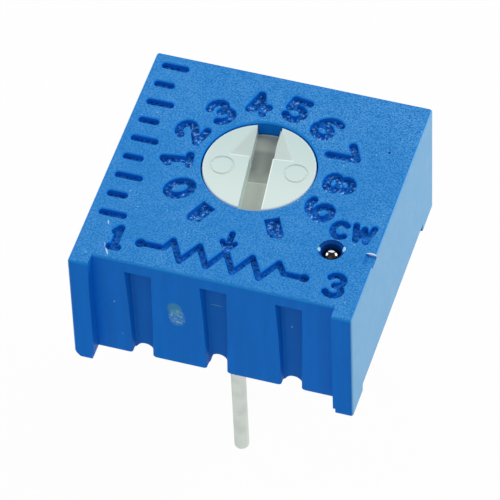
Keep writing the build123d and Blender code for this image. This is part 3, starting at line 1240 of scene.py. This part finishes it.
    def _cut_inside(self, case: bpy.types.Object) -> None:
        """Cut the pocket, the room, the rotor chamber with its stop, the seal bore and the hole.

        Args:
            case: The case.
        """
        pocket_front = self.front + self.recess + self.groove_depth + self.front_wall
        pocket_back = self.back - self.side_wall
        inner = self.side - self.side_wall
        shrink = self.ledge
        pocket = block("pocket", (-inner, pocket_front, -1), (inner, pocket_back, self.pocket_top))
        bevel(pocket, 0.3, 4, lambda ends: abs(ends[0].z - ends[1].z) > 1)
        combine(case, pocket)
        low = (-inner + shrink, pocket_front + shrink, self.pocket_top - 0.2)
        high = (inner - shrink, pocket_back - shrink, self.room_top)
        room = block("room", low, high)
        bevel(room, 0.3, 4, lambda ends: abs(ends[0].z - ends[1].z) > 0.1)
        combine(case, room)

        axis = (0.0, self.rotor_y)
        chamber = drum("chamber", axis, self.chamber_radius, self.room_top - 0.1, self.ceiling)
        reach = self.chamber_radius + 1
        half = reach * sin(radians(self.stop_half_angle))
        stop = block("stop", (-half, -reach, self.room_top - 0.5), (half, 0, self.ceiling + 0.5))
        select_where(stop, "VERT", lambda co: co.y > -0.5)
        bpy.ops.transform.resize(value=(0.01, 1, 1), center_override=(0, 0, 0))
        leave_edit()
        stop.data.transform(Matrix.Translation((*axis, 0)))
        combine(chamber, stop)
        core = drum("core", axis, self.stop_radius, self.room_top - 0.1, self.ceiling)
        combine(chamber, core, "UNION")
        combine(case, chamber)
        combine(case, drum("seal_bore", axis, self.seal_bore, self.ceiling - 0.1, self.seal_top))
        self._cut_rimmed_hole(case, axis, self.hole_radius, self.rim_ease, self.seal_top - 0.1)

    def _cut_rimmed_hole(
        self, case: bpy.types.Object, centre: Point, radius: float, ease: float, low: float
    ) -> None:
        """Cut a round hole from the top with an eased or chamfered rim.

        Args:
            case: The case.
            centre: The hole's axis.
            radius: Its radius.
            ease: Width and depth of the rim's chamfer.
            low: Height of its bottom.
        """
        hole = drum("hole", centre, radius, low, self.top - ease, 128)
        select_where(hole, "FACE", lambda face: face[1].z > 0.9)
        for rise, factor in ((ease, (radius + ease) / radius), (0.3, 1.0)):
            bpy.ops.mesh.extrude_region_move(TRANSFORM_OT_translate={"value": (0, 0, rise)})
            bpy.ops.transform.resize(value=(factor, factor, 1), center_override=(*centre, 0))
        leave_edit()
        combine(case, hole)

    def _lift_walls(self, case: bpy.types.Object) -> None:
        """Cut the walls back between the corner feet.

        Args:
            case: The case.
        """
        foot = self.side - self.foot_width
        ends = block("end_lift", (-foot, self.front - 1, -1), (foot, self.back + 1, self.front_lift))
        combine(case, ends)
        low = (-self.side - 1, self.front + self.foot_length, -1)
        high = (self.side + 1, self.back - self.foot_length - self.rear_extra, self.side_lift)
        sides = block("side_lift", low, high)
        combine(case, sides)

    def _engrave(self, case: bpy.types.Object) -> None:
        """Cut the dial digits, CW, lead numbers, travel bars, resistor symbol and edge ticks.

        Args:
            case: The case.
        """
        pen = Engraver(self.top, self.mark_depth)
        for digit in range(self.digits):
            angle = self.digit_start + (self.digit_end - self.digit_start) * digit / (self.digits - 1)
            turn = radians(angle)
            place = (self.digit_radius * sin(turn), self.rotor_y + self.digit_radius * cos(turn))
            pen.glyph(str(digit), place, self.digit_size, -angle, self.digit_stroke)
        middle = (self.front + self.back) / 2
        for sign, (x, y), size, stroke in self.signs:
            pen.glyph(sign, (x, middle + y), size, 0, stroke)
        self._travel_bars(pen)
        self._symbol(pen, middle + self.symbol_from_middle)
        self._ticks(pen, middle)
        pen.cut(case)

    def _travel_bars(self, pen: Engraver) -> None:
        """Add the two bars that mark the ends of the travel.

        Args:
            pen: The engraver.
        """
        lean = radians(self.bar_lean)
        start = self.hole_radius + self.bar_gap
        foot = self.bar_foot
        for side in (-1, 1):
            corners = []
            for edge in (-self.bar_half, self.bar_half):
                x = side * (start * sin(lean) + edge * cos(lean))
                y = -start * cos(lean) + edge * sin(lean)
                corners.append(((x, y), (x + side * (y + foot) * sin(lean) / cos(lean), -foot)))
            ring = [corners[0][0], corners[0][1], corners[1][1], corners[1][0]]
            tip = ring[2]
            share = self.bar_trim
            ring[2:3] = [tuple(t + share * (end - t) for t, end in zip(tip, ring[index])) for index in (1, 3)]
            ring = ring if side > 0 else ring[::-1]
            pen.outline([(x, y + self.rotor_y) for x, y in ring])

    def _symbol(self, pen: Engraver, y: float) -> None:
        """Add the resistor symbol with its end dots and wiper arrow.

        Args:
            pen: The engraver.
            y: Height of its line on the top face.
        """
        left, right = self.symbol_ends
        step, half = self.zigzag_step, self.zigzag_half
        zigzag = [(self.zigzag_start + step * index, y + half * (-1) ** index) for index in range(9)]
        pen.line([(left, y), (-1.93, y), *zigzag, (2.10, y), (right, y)], self.stroke)
        symbol = pen.tools[-1]
        for x in self.symbol_ends:
            combine(symbol, pen.dot((x, y), self.symbol_dot), "UNION")
        pen.line([(0.02, y + 1.18), (0.03, y + 0.52)], 0.22)
        arrow = pen.tools.pop()
        for end in ((-0.20, y + 0.80), (0.23, y + 0.78)):
            combine(arrow, pen.stroke(end, (0.04, y + 0.46), 0.20), "UNION")
        combine(symbol, arrow, "UNION")

    def _ticks(self, pen: Engraver, middle: float) -> None:
        """Add a plain scale of short bars along the left edge.

        Args:
            pen: The engraver.
            middle: The top face's middle, front to back.
        """
        first, last = (middle + end for end in self.tick_span)
        for index in range(self.ticks):
            y = first + (last - first) * index / (self.ticks - 1)
            pen.line([(self.tick_outer, y), (self.tick_inner[index % 2], y)], self.tick_stroke)

    def _details(self, case: bpy.types.Object) -> None:
        """Cut the nick in the top's right edge, the worn foot corner and a pit in the top.

        Args:
            case: The case.
        """
        middle = (self.front + self.back) / 2
        near, far = (middle + end for end in self.nick_span)
        low = (self.nick_x, near, self.top - self.nick_depth)
        nick = block("nick", low, (self.side + 0.5, far, self.top + 0.5))
        bevel(nick, 0.05, 2, lambda ends: max(ends[0].x, ends[1].x) < self.nick_x + 0.01)
        combine(case, nick)
        high = (-self.side, self.front + self.worn_length, self.worn_height)
        wedge = block("wedge", (-self.side - 1, self.front - 1, -1), high)
        select_where(wedge, "VERT", lambda co: co.x > -self.side - 0.1 and co.z < 0)
        reach = self.worn_width * (1 + self.worn_height) / self.worn_height
        bpy.ops.transform.translate(value=(reach, 0, 0))
        leave_edit()
        combine(case, wedge)
        place = (self.pit[0], middle + self.pit[1])
        low_z = self.top - self.pit_depth
        combine(case, drum("pit", place, self.pit_radius, low_z, self.top + 0.2, 12))

    def build(self) -> bpy.types.Object:
        """Model and dress the housing.

        Returns:
            The housing.
        """
        case = self._shell()
        self._cut_front(case)
        self._cut_inside(case)
        self._lift_walls(case)
        vent = (self.side - self.vent_from_right, self.front + self.vent_from_front)
        self._cut_rimmed_hole(case, vent, self.vent_radius, self.vent_chamfer, self.top - self.vent_depth)
        self._details(case)
        self._engrave(case)
        groove = self.front + self.recess + self.groove_depth
        finish = MouldedBlue(
            top_z=self.top,
            side_x=self.side,
            groove_y=groove,
            vent=vent,
            dial_y=self.rotor_y,
            scuffs=self._scuffs(),
        )
        return finish_piece(case, Body.CASE, finish, "housing")

    def _scuffs(self) -> tuple[Scuff, ...]:
        """List the small rubbed places of the front wall and the top, with painted highlights at the nick's
        rear edge and on the vent's rim.

        Returns:
            The places.
        """
        wall = self.front + self.recess
        groove = wall + self.groove_depth
        middle = (self.front + self.back) / 2
        pale = (0.42, 0.60, 0.76)
        glint = (0.80, 0.88, 0.96)
        shine = (0.42, 0.76, 1.0)
        worn = (0.30, 0.42, 0.50)
        across, ahead = self.side - self.vent_from_right, self.front + self.vent_from_front
        return (
            Scuff((-1.34, wall, 2.98), (0.30, 0.2, 0.36), (0.06, 0.28, 0.48), 0.85),
            Scuff((-1.28, wall, 2.58), (0.33, 0.2, 0.48), (0.26, 0.55, 0.70), 0.95, 0.80),
            Scuff((-3.41, wall, 2.71), (0.036, 0.2, 0.045), (0.24, 0.50, 0.80), 0.9),
            Scuff((-3.20, wall, 1.13), (0.034, 0.2, 0.034), (0.14, 0.38, 0.75), 0.7),
            Scuff((0.0, groove, 3.27), (0.26, 0.1, 0.022), (0.16, 0.36, 0.46), 0.6),
            Scuff((2.53, groove, 3.02), (0.035, 0.1, 0.05), (0.25, 0.48, 0.66), 0.7),
            Scuff((-3.700, middle - 3.95, self.top), (0.032, 0.31, 0.1), pale, 0.95, turn=29.4),
            Scuff((-3.983, middle - 2.85, self.top), (0.028, 0.11, 0.1), pale, 0.8, turn=20.0),
            Scuff((2.80, middle - 3.55, self.top - self.mark_depth), (0.14, 0.13, 0.25), worn, 0.8),
            # painted highlight: a pale line at the nick's rear edge, where it catches the light
            Scuff((4.62, middle - 1.86, self.top), (0.22, 0.045, 0.09), glint, 0.9),
            # painted highlights: the pale crescents on the left and right of the vent's chamfered rim
            Scuff((across - 0.375, ahead - 0.05, self.top), (0.075, 0.11, 0.09), shine, 0.95),
            Scuff((across + 0.375, ahead + 0.13, self.top), (0.075, 0.12, 0.09), shine, 0.95),
        )


# ------------------------------------------------------------------ the rotor


@dataclass
class Rotor:
    """White slotted rotor with its arrowhead recess, flange, stop lug and staked pegs."""

    axis_y: float
    low: float
    face: float
    turn: float = 6.9

    radius: float = 1.875
    edge_round: float = 0.07
    flange_top: float = 3.005
    flange_bottom: float = 2.355
    flange_radius: float = 2.615
    lug_radius: float = 2.915
    lug_half_angle: float = 11.5
    slot_width: float = 0.76
    slot_depth: float = 0.48
    arrow_depth: float = 0.24
    arrow_base: float = 0.41
    arrow_base_half: float = 1.09
    arrow_tip_half: float = 0.45
    arrow_slant: float = 0.454
    slot_step_y: float = -0.29
    slot_step: float = 0.03
    witness: Triple = (1.22, -0.13, 0.375)
    witness_rim: float = 0.048
    witness_rise: float = 0.012
    edge_ease: float = 0.035
    peg_x: float = 1.05
    peg_radius: float = 0.20
    peg_head_radius: float = 0.32
    carrier: float = 0.15

    def _arrow_tool(self) -> bpy.types.Object:
        """Shape the arrowhead's tool: two facets that sink from its slanted edges to the slot.

        Returns:
            The tool.
        """
        reach = self.radius + 0.3
        inner = self.slot_width / 2
        low = (-self.arrow_base_half, self.arrow_base, self.face)
        tool = block("arrow", low, (self.arrow_base_half, reach, self.face + 0.3))
        select_where(tool, "VERT", lambda co: co.y > self.arrow_base + 0.1)
        rim = sqrt(self.radius**2 - self.arrow_tip_half**2)
        slope = (self.arrow_base_half - self.arrow_tip_half) / (rim - self.arrow_base)
        far_half = self.arrow_base_half - slope * (reach - self.arrow_base)
        narrow = far_half / self.arrow_base_half
        bpy.ops.transform.resize(value=(narrow, 1, 1), center_override=(0, 0, 0))
        leave_edit()
        for side in (-1, 1):
            select_where(tool, "FACE", lambda face: True)
            bpy.ops.mesh.bisect(plane_co=(side * inner * 0.7, 0, 0), plane_no=(1, 0, 0))
            leave_edit()
        for vertex in tool.data.vertices:
            if vertex.co.z < self.face + 0.1 and abs(vertex.co.x) < inner * 0.7 + 0.01:
                vertex.co.z -= self.arrow_depth
        return tool

    def _slot_tool(self) -> bpy.types.Object:
        """Shape the driver slot's tool, a little deeper behind the middle.

        Returns:
            The tool.
        """
        half = self.slot_width / 2
        long = self.radius + 0.5
        floor = self.face - self.slot_depth
        tool = block("slot", (-half, -long, floor), (half, long, self.face + 0.5))
        low = (-half, self.slot_step_y, floor - self.slot_step)
        deeper = block("deeper", low, (half, long, floor + 0.2))
        combine(tool, deeper, "UNION")
        return tool

    @staticmethod
    def _is_cut_edge(ends: Sequence[Vector], top: float, reach: float) -> bool:
        """Tell whether an edge is where a cut meets the rotor's face.

        Args:
            ends: The edge's two end places.
            top: Height above which both must lie.
            reach: Distance from the axis within which both must lie, less a little.

        Returns:
            Whether it is.
        """
        at_top = min(ends[0].z, ends[1].z) > top
        inner = max(hypot(ends[0].x, ends[0].y), hypot(ends[1].x, ends[1].y)) < reach + 0.2
        straight = (ends[0] - ends[1]).length > 0.2
        return at_top and inner and straight

    def build(self) -> bpy.types.Object:
        """Model and dress the rotor.

        Returns:
            The rotor.
        """
        rotor = drum("rotor_body", (0, 0), self.radius, self.flange_top - 0.1, self.face, 128)
        high = self.face - 0.001
        bevel(rotor, self.edge_round, 3, lambda ends: min(ends[0].z, ends[1].z) > high)
        flange = drum("flange", (0, 0), self.flange_radius, self.flange_bottom, self.flange_top, 128)
        reach = self.lug_radius * sin(radians(self.lug_half_angle))
        lug = block("lug", (-reach, 1.0, self.flange_bottom), (reach, self.lug_radius, self.flange_top))
        select_where(lug, "VERT", lambda co: co.y < 1.5)
        bpy.ops.transform.resize(value=(1.0 / self.lug_radius, 1, 1), center_override=(0, 0, 0))
        leave_edit()
        trim = drum("trim", (0, 0), self.lug_radius, self.flange_bottom - 0.2, self.flange_top + 0.2, 128)
        combine(lug, trim, "INTERSECT")
        combine(flange, lug, "UNION")
        combine(rotor, flange, "UNION")

        combine(rotor, self._arrow_tool())
        combine(rotor, self._slot_tool())
        top = self.face - 0.001
        reach = self.radius - self.edge_round - 0.01
        bevel(rotor, self.edge_ease, 2, lambda ends: self._is_cut_edge(ends, top, reach))
        x, y, ring = self.witness
        for side in (-1, 1):
            deselect_all()
            bpy.ops.mesh.primitive_torus_add(
                major_segments=48,
                minor_segments=12,
                major_radius=ring,
                minor_radius=self.witness_rim,
                location=(side * x, y, self.face + self.witness_rise),
            )
            combine(rotor, fresh("witness"))
            spot = (side * self.peg_x, 0)
            peg = drum("peg", spot, self.peg_radius, self.low + 0.05, self.flange_bottom + 0.1, 32)
            combine(rotor, peg, "UNION")
            top = self.flange_bottom - self.carrier
            head = drum("peg_head", spot, self.peg_head_radius, self.low, top, 32)
            bevel(head, 0.05, 2, lambda ends: max(ends[0].z, ends[1].z) < self.low + 0.001)
            combine(rotor, head, "UNION")
        turn = radians(self.turn)
        rotor.data.transform(Matrix.Translation((0, self.axis_y, 0)) @ Matrix.Rotation(turn, 4, "Z"))
        finish = RotorPlastic(
            axis_y=self.axis_y,
            turn=turn,
            face_z=self.face,
            slot_half=self.slot_width / 2,
            slot_depth=self.slot_depth,
            base_y=self.arrow_base,
            base_half=self.arrow_base_half,
            slant=self.arrow_slant,
            rim=self.radius,
        )
        return finish_piece(rotor, Body.ROTOR, finish, "rotor")


# ------------------------------------------------------------------ leads, ball and epoxy


@dataclass
class Leads:
    """Three tinned wire leads, round below and coined square where they enter the case."""

    radius: float = 0.255
    tip_round: float = 0.11
    top_ease: float = 0.04
    shank: float = 0.40
    round_top: float = 0.30
    lean: float = 0.033
    offset: float = 0.050

    def build(self, number: str) -> bpy.types.Object:
        """Model and dress one lead.

        Args:
            number: The lead's number.

        Returns:
            The lead.
        """
        node = f"terminal_{number}"
        low, high = (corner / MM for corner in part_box(node))
        centre = ((low.x + high.x) / 2, (low.y + high.y) / 2)
        wire = drum(f"lead_{number}", centre, self.radius, low.z, self.round_top, 48)
        bevel(wire, self.tip_round, 5, lambda ends: max(ends[0].z, ends[1].z) < low.z + 0.001)
        bevel(wire, self.top_ease, 2, lambda ends: min(ends[0].z, ends[1].z) > self.round_top - 0.001)
        half = self.shank / 2
        corner = (centre[0] - half, centre[1] - half, self.round_top - 0.1)
        shank = block("shank", corner, (centre[0] + half, centre[1] + half, high.z))
        combine(wire, shank, "UNION")
        if number == "2":
            self._bend(wire)
        tin = Metal("tinned_wire", (0.68, 0.73, 0.68), (0.56, 0.61, 0.56), 0.42)
        return finish_piece(wire, Body.CASE, tin, node)

    def _bend(self, wire: bpy.types.Object) -> None:
        """Lean a wire slightly backwards below the case, and set it a little to the left.

        Args:
            wire: The wire.
        """
        for vertex in wire.data.vertices:
            vertex.co.y += self.lean * max(0.0, -vertex.co.z)
            vertex.co.x -= self.offset * min(1.0, max(0.0, (self.round_top - vertex.co.z) / 0.3))


@dataclass
class VentBall:
    """Polished steel ball, pressed into the vent bore, with a painted dark reflection and painted glints on
    its top.
    """

    press_flat: float = 0.012
    glints: tuple[tuple[Triple, Triple], ...] = (
        ((-0.020, 0.080, 0.330), (0.135, 0.085, 0.080)),
        ((0.165, 0.015, 0.297), (0.060, 0.060, 0.060)),
        ((-0.139, -0.090, 0.297), (0.060, 0.060, 0.060)),
    )
    # bright is the colour of the painted glints; dark and darker paint the ball's reflection of the bore's
    # shade in place of the steel's own colour
    bright: Triple = (0.86, 0.87, 0.88)
    dark: Triple = (0.026, 0.023, 0.020)
    darker: Triple = (0.015, 0.015, 0.015)

    def build(self) -> bpy.types.Object:
        """Model and dress the ball.

        Returns:
            The ball.
        """
        low, high = (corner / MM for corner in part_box("vent_ball"))
        radius = (high.x - low.x) / 2
        deselect_all()
        middle = (low + high) / 2
        bpy.ops.mesh.primitive_uv_sphere_add(segments=64, ring_count=32, radius=radius, location=middle)
        ball = fresh("steel_ball")
        level = high.z - self.press_flat
        select_where(ball, "VERT", lambda co: co.z > level)
        bpy.ops.transform.resize(value=(1, 1, 0), center_override=(0, 0, level))
        leave_edit()
        # painted highlights: the glints stand in for the ball's reflections of the sky and the lamps
        marks = tuple(
            Scuff(tuple(middle + Vector(place)), half, self.bright, 1.0) for place, half in self.glints
        )
        steel = Metal("polished_steel", self.dark, self.darker, 0.14, (1, 1, 1), marks=marks)
        return finish_piece(ball, Body.CASE, steel, "vent_ball", 60.0)


@dataclass
class Potting:
    """Epoxy that closes the case from below, drawn up a little along the walls and leads."""

    creep: float = 0.10
    wall_reach: float = 0.22
    lead_reach: float = 0.16
    cells: int = 71
    overhang: float = 0.17
    ripple: float = 0.012
    corner_round: float = 0.3
    shank: float = 0.40

    def build(self) -> bpy.types.Object:
        """Model and dress the epoxy.

        Returns:
            The epoxy.
        """
        low, high = (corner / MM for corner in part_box("epoxy_seal"))
        leads = []
        for number in "123":
            near, far = (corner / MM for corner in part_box(f"terminal_{number}"))
            leads.append(((near.x + far.x) / 2, (near.y + far.y) / 2))
        deselect_all()
        middle = (low + high) / 2
        bpy.ops.mesh.primitive_grid_add(
            x_subdivisions=self.cells,
            y_subdivisions=self.cells,
            size=1,
            location=(middle.x, middle.y, low.z + self.creep),
        )
        spread = (high.x - low.x + 2 * self.overhang, high.y - low.y + 2 * self.overhang, 1)
        bpy.ops.transform.resize(value=spread, center_override=middle)
        epoxy = fresh("potting")
        for vertex in epoxy.data.vertices:
            co = vertex.co
            wall = min(co.x - low.x, high.x - co.x, co.y - low.y, high.y - co.y)
            lead = min(hypot(co.x - x, co.y - y) for x, y in leads) - self.shank / 2
            near_wall = max(0.0, 1 - wall / self.wall_reach) ** 2
            near_lead = max(0.0, 1 - max(lead, 0.0) / self.lead_reach) ** 2
            ripple = self.ripple * sin(1.3 * co.x + 0.7) * cos(1.1 * co.y)
            co.z += ripple - self.creep * min(1.0, near_wall + 0.8 * near_lead)
        select_where(epoxy, "FACE", lambda face: True)
        bpy.ops.mesh.quads_convert_to_tris()
        bpy.ops.mesh.extrude_region_move(TRANSFORM_OT_translate={"value": (0, 0, 1.0)})
        bpy.ops.mesh.select_all(action="SELECT")
        bpy.ops.mesh.normals_make_consistent(inside=False)
        leave_edit()
        cap = block("cap", (low.x - 1, low.y - 1, high.z), (high.x + 1, high.y + 1, high.z + 2))
        combine(epoxy, cap)
        outline = block("outline", (low.x, low.y, low.z - 1), (high.x, high.y, high.z + 1))
        bevel(outline, self.corner_round, 4, lambda ends: abs(ends[0].z - ends[1].z) > 1)
        combine(epoxy, outline, "INTERSECT")
        half = self.shank / 2
        for x, y in leads:
            combine(epoxy, block("lead_hole", (x - half, y - half, -1), (x + half, y + half, 3)))
        resin = Cast("potting_resin", (0.012, 0.055, 0.16), (0.018, 0.075, 0.20), 0.32, 0.5, 0.012)
        return finish_piece(epoxy, Body.CASE, resin, "epoxy_seal", 40.0, False)


class InnerParts:
    """Finishes of the CAD pieces that stay as they are inside the case."""

    def finishes(self) -> dict[str, Finish]:
        """List the inner nodes' finishes.

        Returns:
            Each node's finish.
        """
        conductor = Metal("silver_film", (0.72, 0.71, 0.68), (0.60, 0.58, 0.53), 0.45, (1, 1, 1))
        solder = Metal("solder", (0.66, 0.66, 0.66), (0.52, 0.52, 0.53), 0.30, (1, 1, 1))
        carrier = Metal("carrier_metal", (0.72, 0.58, 0.34), (0.60, 0.47, 0.27), 0.30, (1, 0.06, 1))
        brush = Metal("brush_metal", (0.80, 0.69, 0.44), (0.70, 0.58, 0.34), 0.24, (0.06, 1, 1))
        finishes: dict[str, Finish] = {
            "rotor_seal": Cast("seal_rubber", (0.012, 0.012, 0.012), (0.02, 0.02, 0.02), 0.55),
            "wiper_carrier": carrier,
            "wiper_brush": brush,
            "ceramic_substrate": Cast("alumina", (0.82, 0.82, 0.77), (0.76, 0.76, 0.71), 0.62, 0.06),
            "resistive_track": Cast("cermet", (0.035, 0.035, 0.04), (0.06, 0.06, 0.06), 0.50, 0.05),
            "collector": conductor,
            "end_pad_1": conductor,
            "end_pad_3": conductor,
        }
        finishes |= {f"solder_joint_{number}": solder for number in "123"}
        return finishes

    def dress(self) -> None:
        """Give each inner node its material, one for each finish."""
        made: dict[str, bpy.types.Material] = {}
        for node, finish in self.finishes().items():
            if finish.name not in made:
                made[finish.name] = finish.make()
            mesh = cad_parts[node].data
            mesh.materials.clear()
            mesh.materials.append(made[finish.name])
            log.info("%s: %s", node, finish.name)


# ------------------------------------------------------------------ studio


@dataclass
class Studio:
    """Pale floor, soft lights and the camera."""

    floor_z: float
    target: Triple
    azimuth: float = 18.904
    elevation: float = 49.159
    roll: float = -2.361
    distance: float = 164.118
    lens: float = 359.37
    slide_right: float = -0.132
    slide_up: float = -0.585
    world_level: float = 0.48
    world_tint: Triple = (0.97, 0.99, 1.0)
    lamps: tuple[tuple[str, Triple, float, float], ...] = (
        ("right", (80, 60, 95), 50, 0.085),
        ("left", (-80, 70, 75), 50, 0.065),
        ("front", (-20, -60, 120), 80, 0.03),
    )

    def _floor(self) -> None:
        """Lay the pale sheet that the part stands on."""
        deselect_all()
        bpy.ops.mesh.primitive_plane_add(size=1.2, location=(0, 0, self.floor_z * MM))
        sheet = fresh("studio_floor")
        sheet.data.materials.append(StudioSheet().make())

    def _world(self) -> None:
        """Light the surroundings evenly, and show them white."""
        sheet = ShaderSheet("studio_world", world=True)
        bpy.context.scene.world = sheet.owner
        light = {"Color": (*self.world_tint, 1.0), "Strength": self.world_level}
        soft = sheet.node("ShaderNodeBackground", inputs=light)
        shown = {"Color": (1.0, 1.0, 1.0, 1.0), "Strength": 1.0}
        white = sheet.node("ShaderNodeBackground", inputs=shown)
        sheet.close(sheet.node("ShaderNodeMixShader", inputs={0: sheet.seen_white(), 1: soft, 2: white}))

    def _lamp(self, name: str, place: Triple, size: float, power: float) -> None:
        """Add a square soft light aimed at the part.

        Args:
            name: The lamp's name.
            place: Where it hangs, in millimetres.
            size: Its side, in millimetres.
            power: Its power in watts.
        """
        lamp = bpy.data.lights.new(name, "AREA")
        lamp.size = size * MM
        lamp.energy = power
        holder = bpy.data.objects.new(name, lamp)
        bpy.context.scene.collection.objects.link(holder)
        holder.location = Vector(place) * MM
        aim = Vector(self.target) * MM - holder.location
        holder.rotation_euler = aim.to_track_quat("-Z", "Y").to_euler()

    def _camera(self) -> None:
        """Place the camera."""
        azimuth, elevation, roll = map(radians, (self.azimuth, self.elevation, self.roll))
        back = Vector((sin(azimuth) * cos(elevation), -cos(azimuth) * cos(elevation), sin(elevation)))
        level = Vector((cos(azimuth), sin(azimuth), 0))
        over = back.cross(level)
        right = level * cos(roll) + over * sin(roll)
        over = back.cross(right)
        place = Vector(self.target) + back * self.distance + right * self.slide_right + over * self.slide_up
        lens = bpy.data.cameras.new("camera")
        lens.lens = self.lens
        lens.sensor_width = 36.0
        lens.clip_start = 0.01
        lens.clip_end = 10.0
        camera = bpy.data.objects.new("camera", lens)
        bpy.context.scene.collection.objects.link(camera)
        turn = Matrix((right, over, back)).transposed().to_4x4()
        camera.matrix_world = Matrix.Translation(place * MM) @ turn
        bpy.context.scene.camera = camera

    def build(self) -> None:
        """Set up the floor, the world, the lamps and the camera."""
        bpy.context.scene.view_settings.view_transform = "Standard"
        self._floor()
        self._world()
        for lamp in self.lamps:
            self._lamp(*lamp)
        self._camera()


def main() -> None:
    """Build every sub-assembly in order."""
    logging.basicConfig(level=logging.INFO, format="%(message)s")
    low, high = (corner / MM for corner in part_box("housing"))
    seal_low, seal_high = (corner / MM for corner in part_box("rotor_seal"))
    rotor_y = (seal_low.y + seal_high.y) / 2
    middle_y = (low.y + high.y) / 2
    Housing(side=high.x, front=low.y, back=high.y, top=high.z, rotor_y=rotor_y).build()
    rotor_low, rotor_high = (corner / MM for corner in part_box("rotor"))
    Rotor(axis_y=rotor_y, low=rotor_low.z, face=rotor_high.z).build()
    leads = Leads()
    for number in "123":
        leads.build(number)
    VentBall().build()
    Potting().build()
    InnerParts().dress()
    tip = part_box("terminal_2")[0].z / MM
    Studio(floor_z=tip, target=(0.0, middle_y, high.z / 2)).build()


if __name__ == "__main__":
    main()
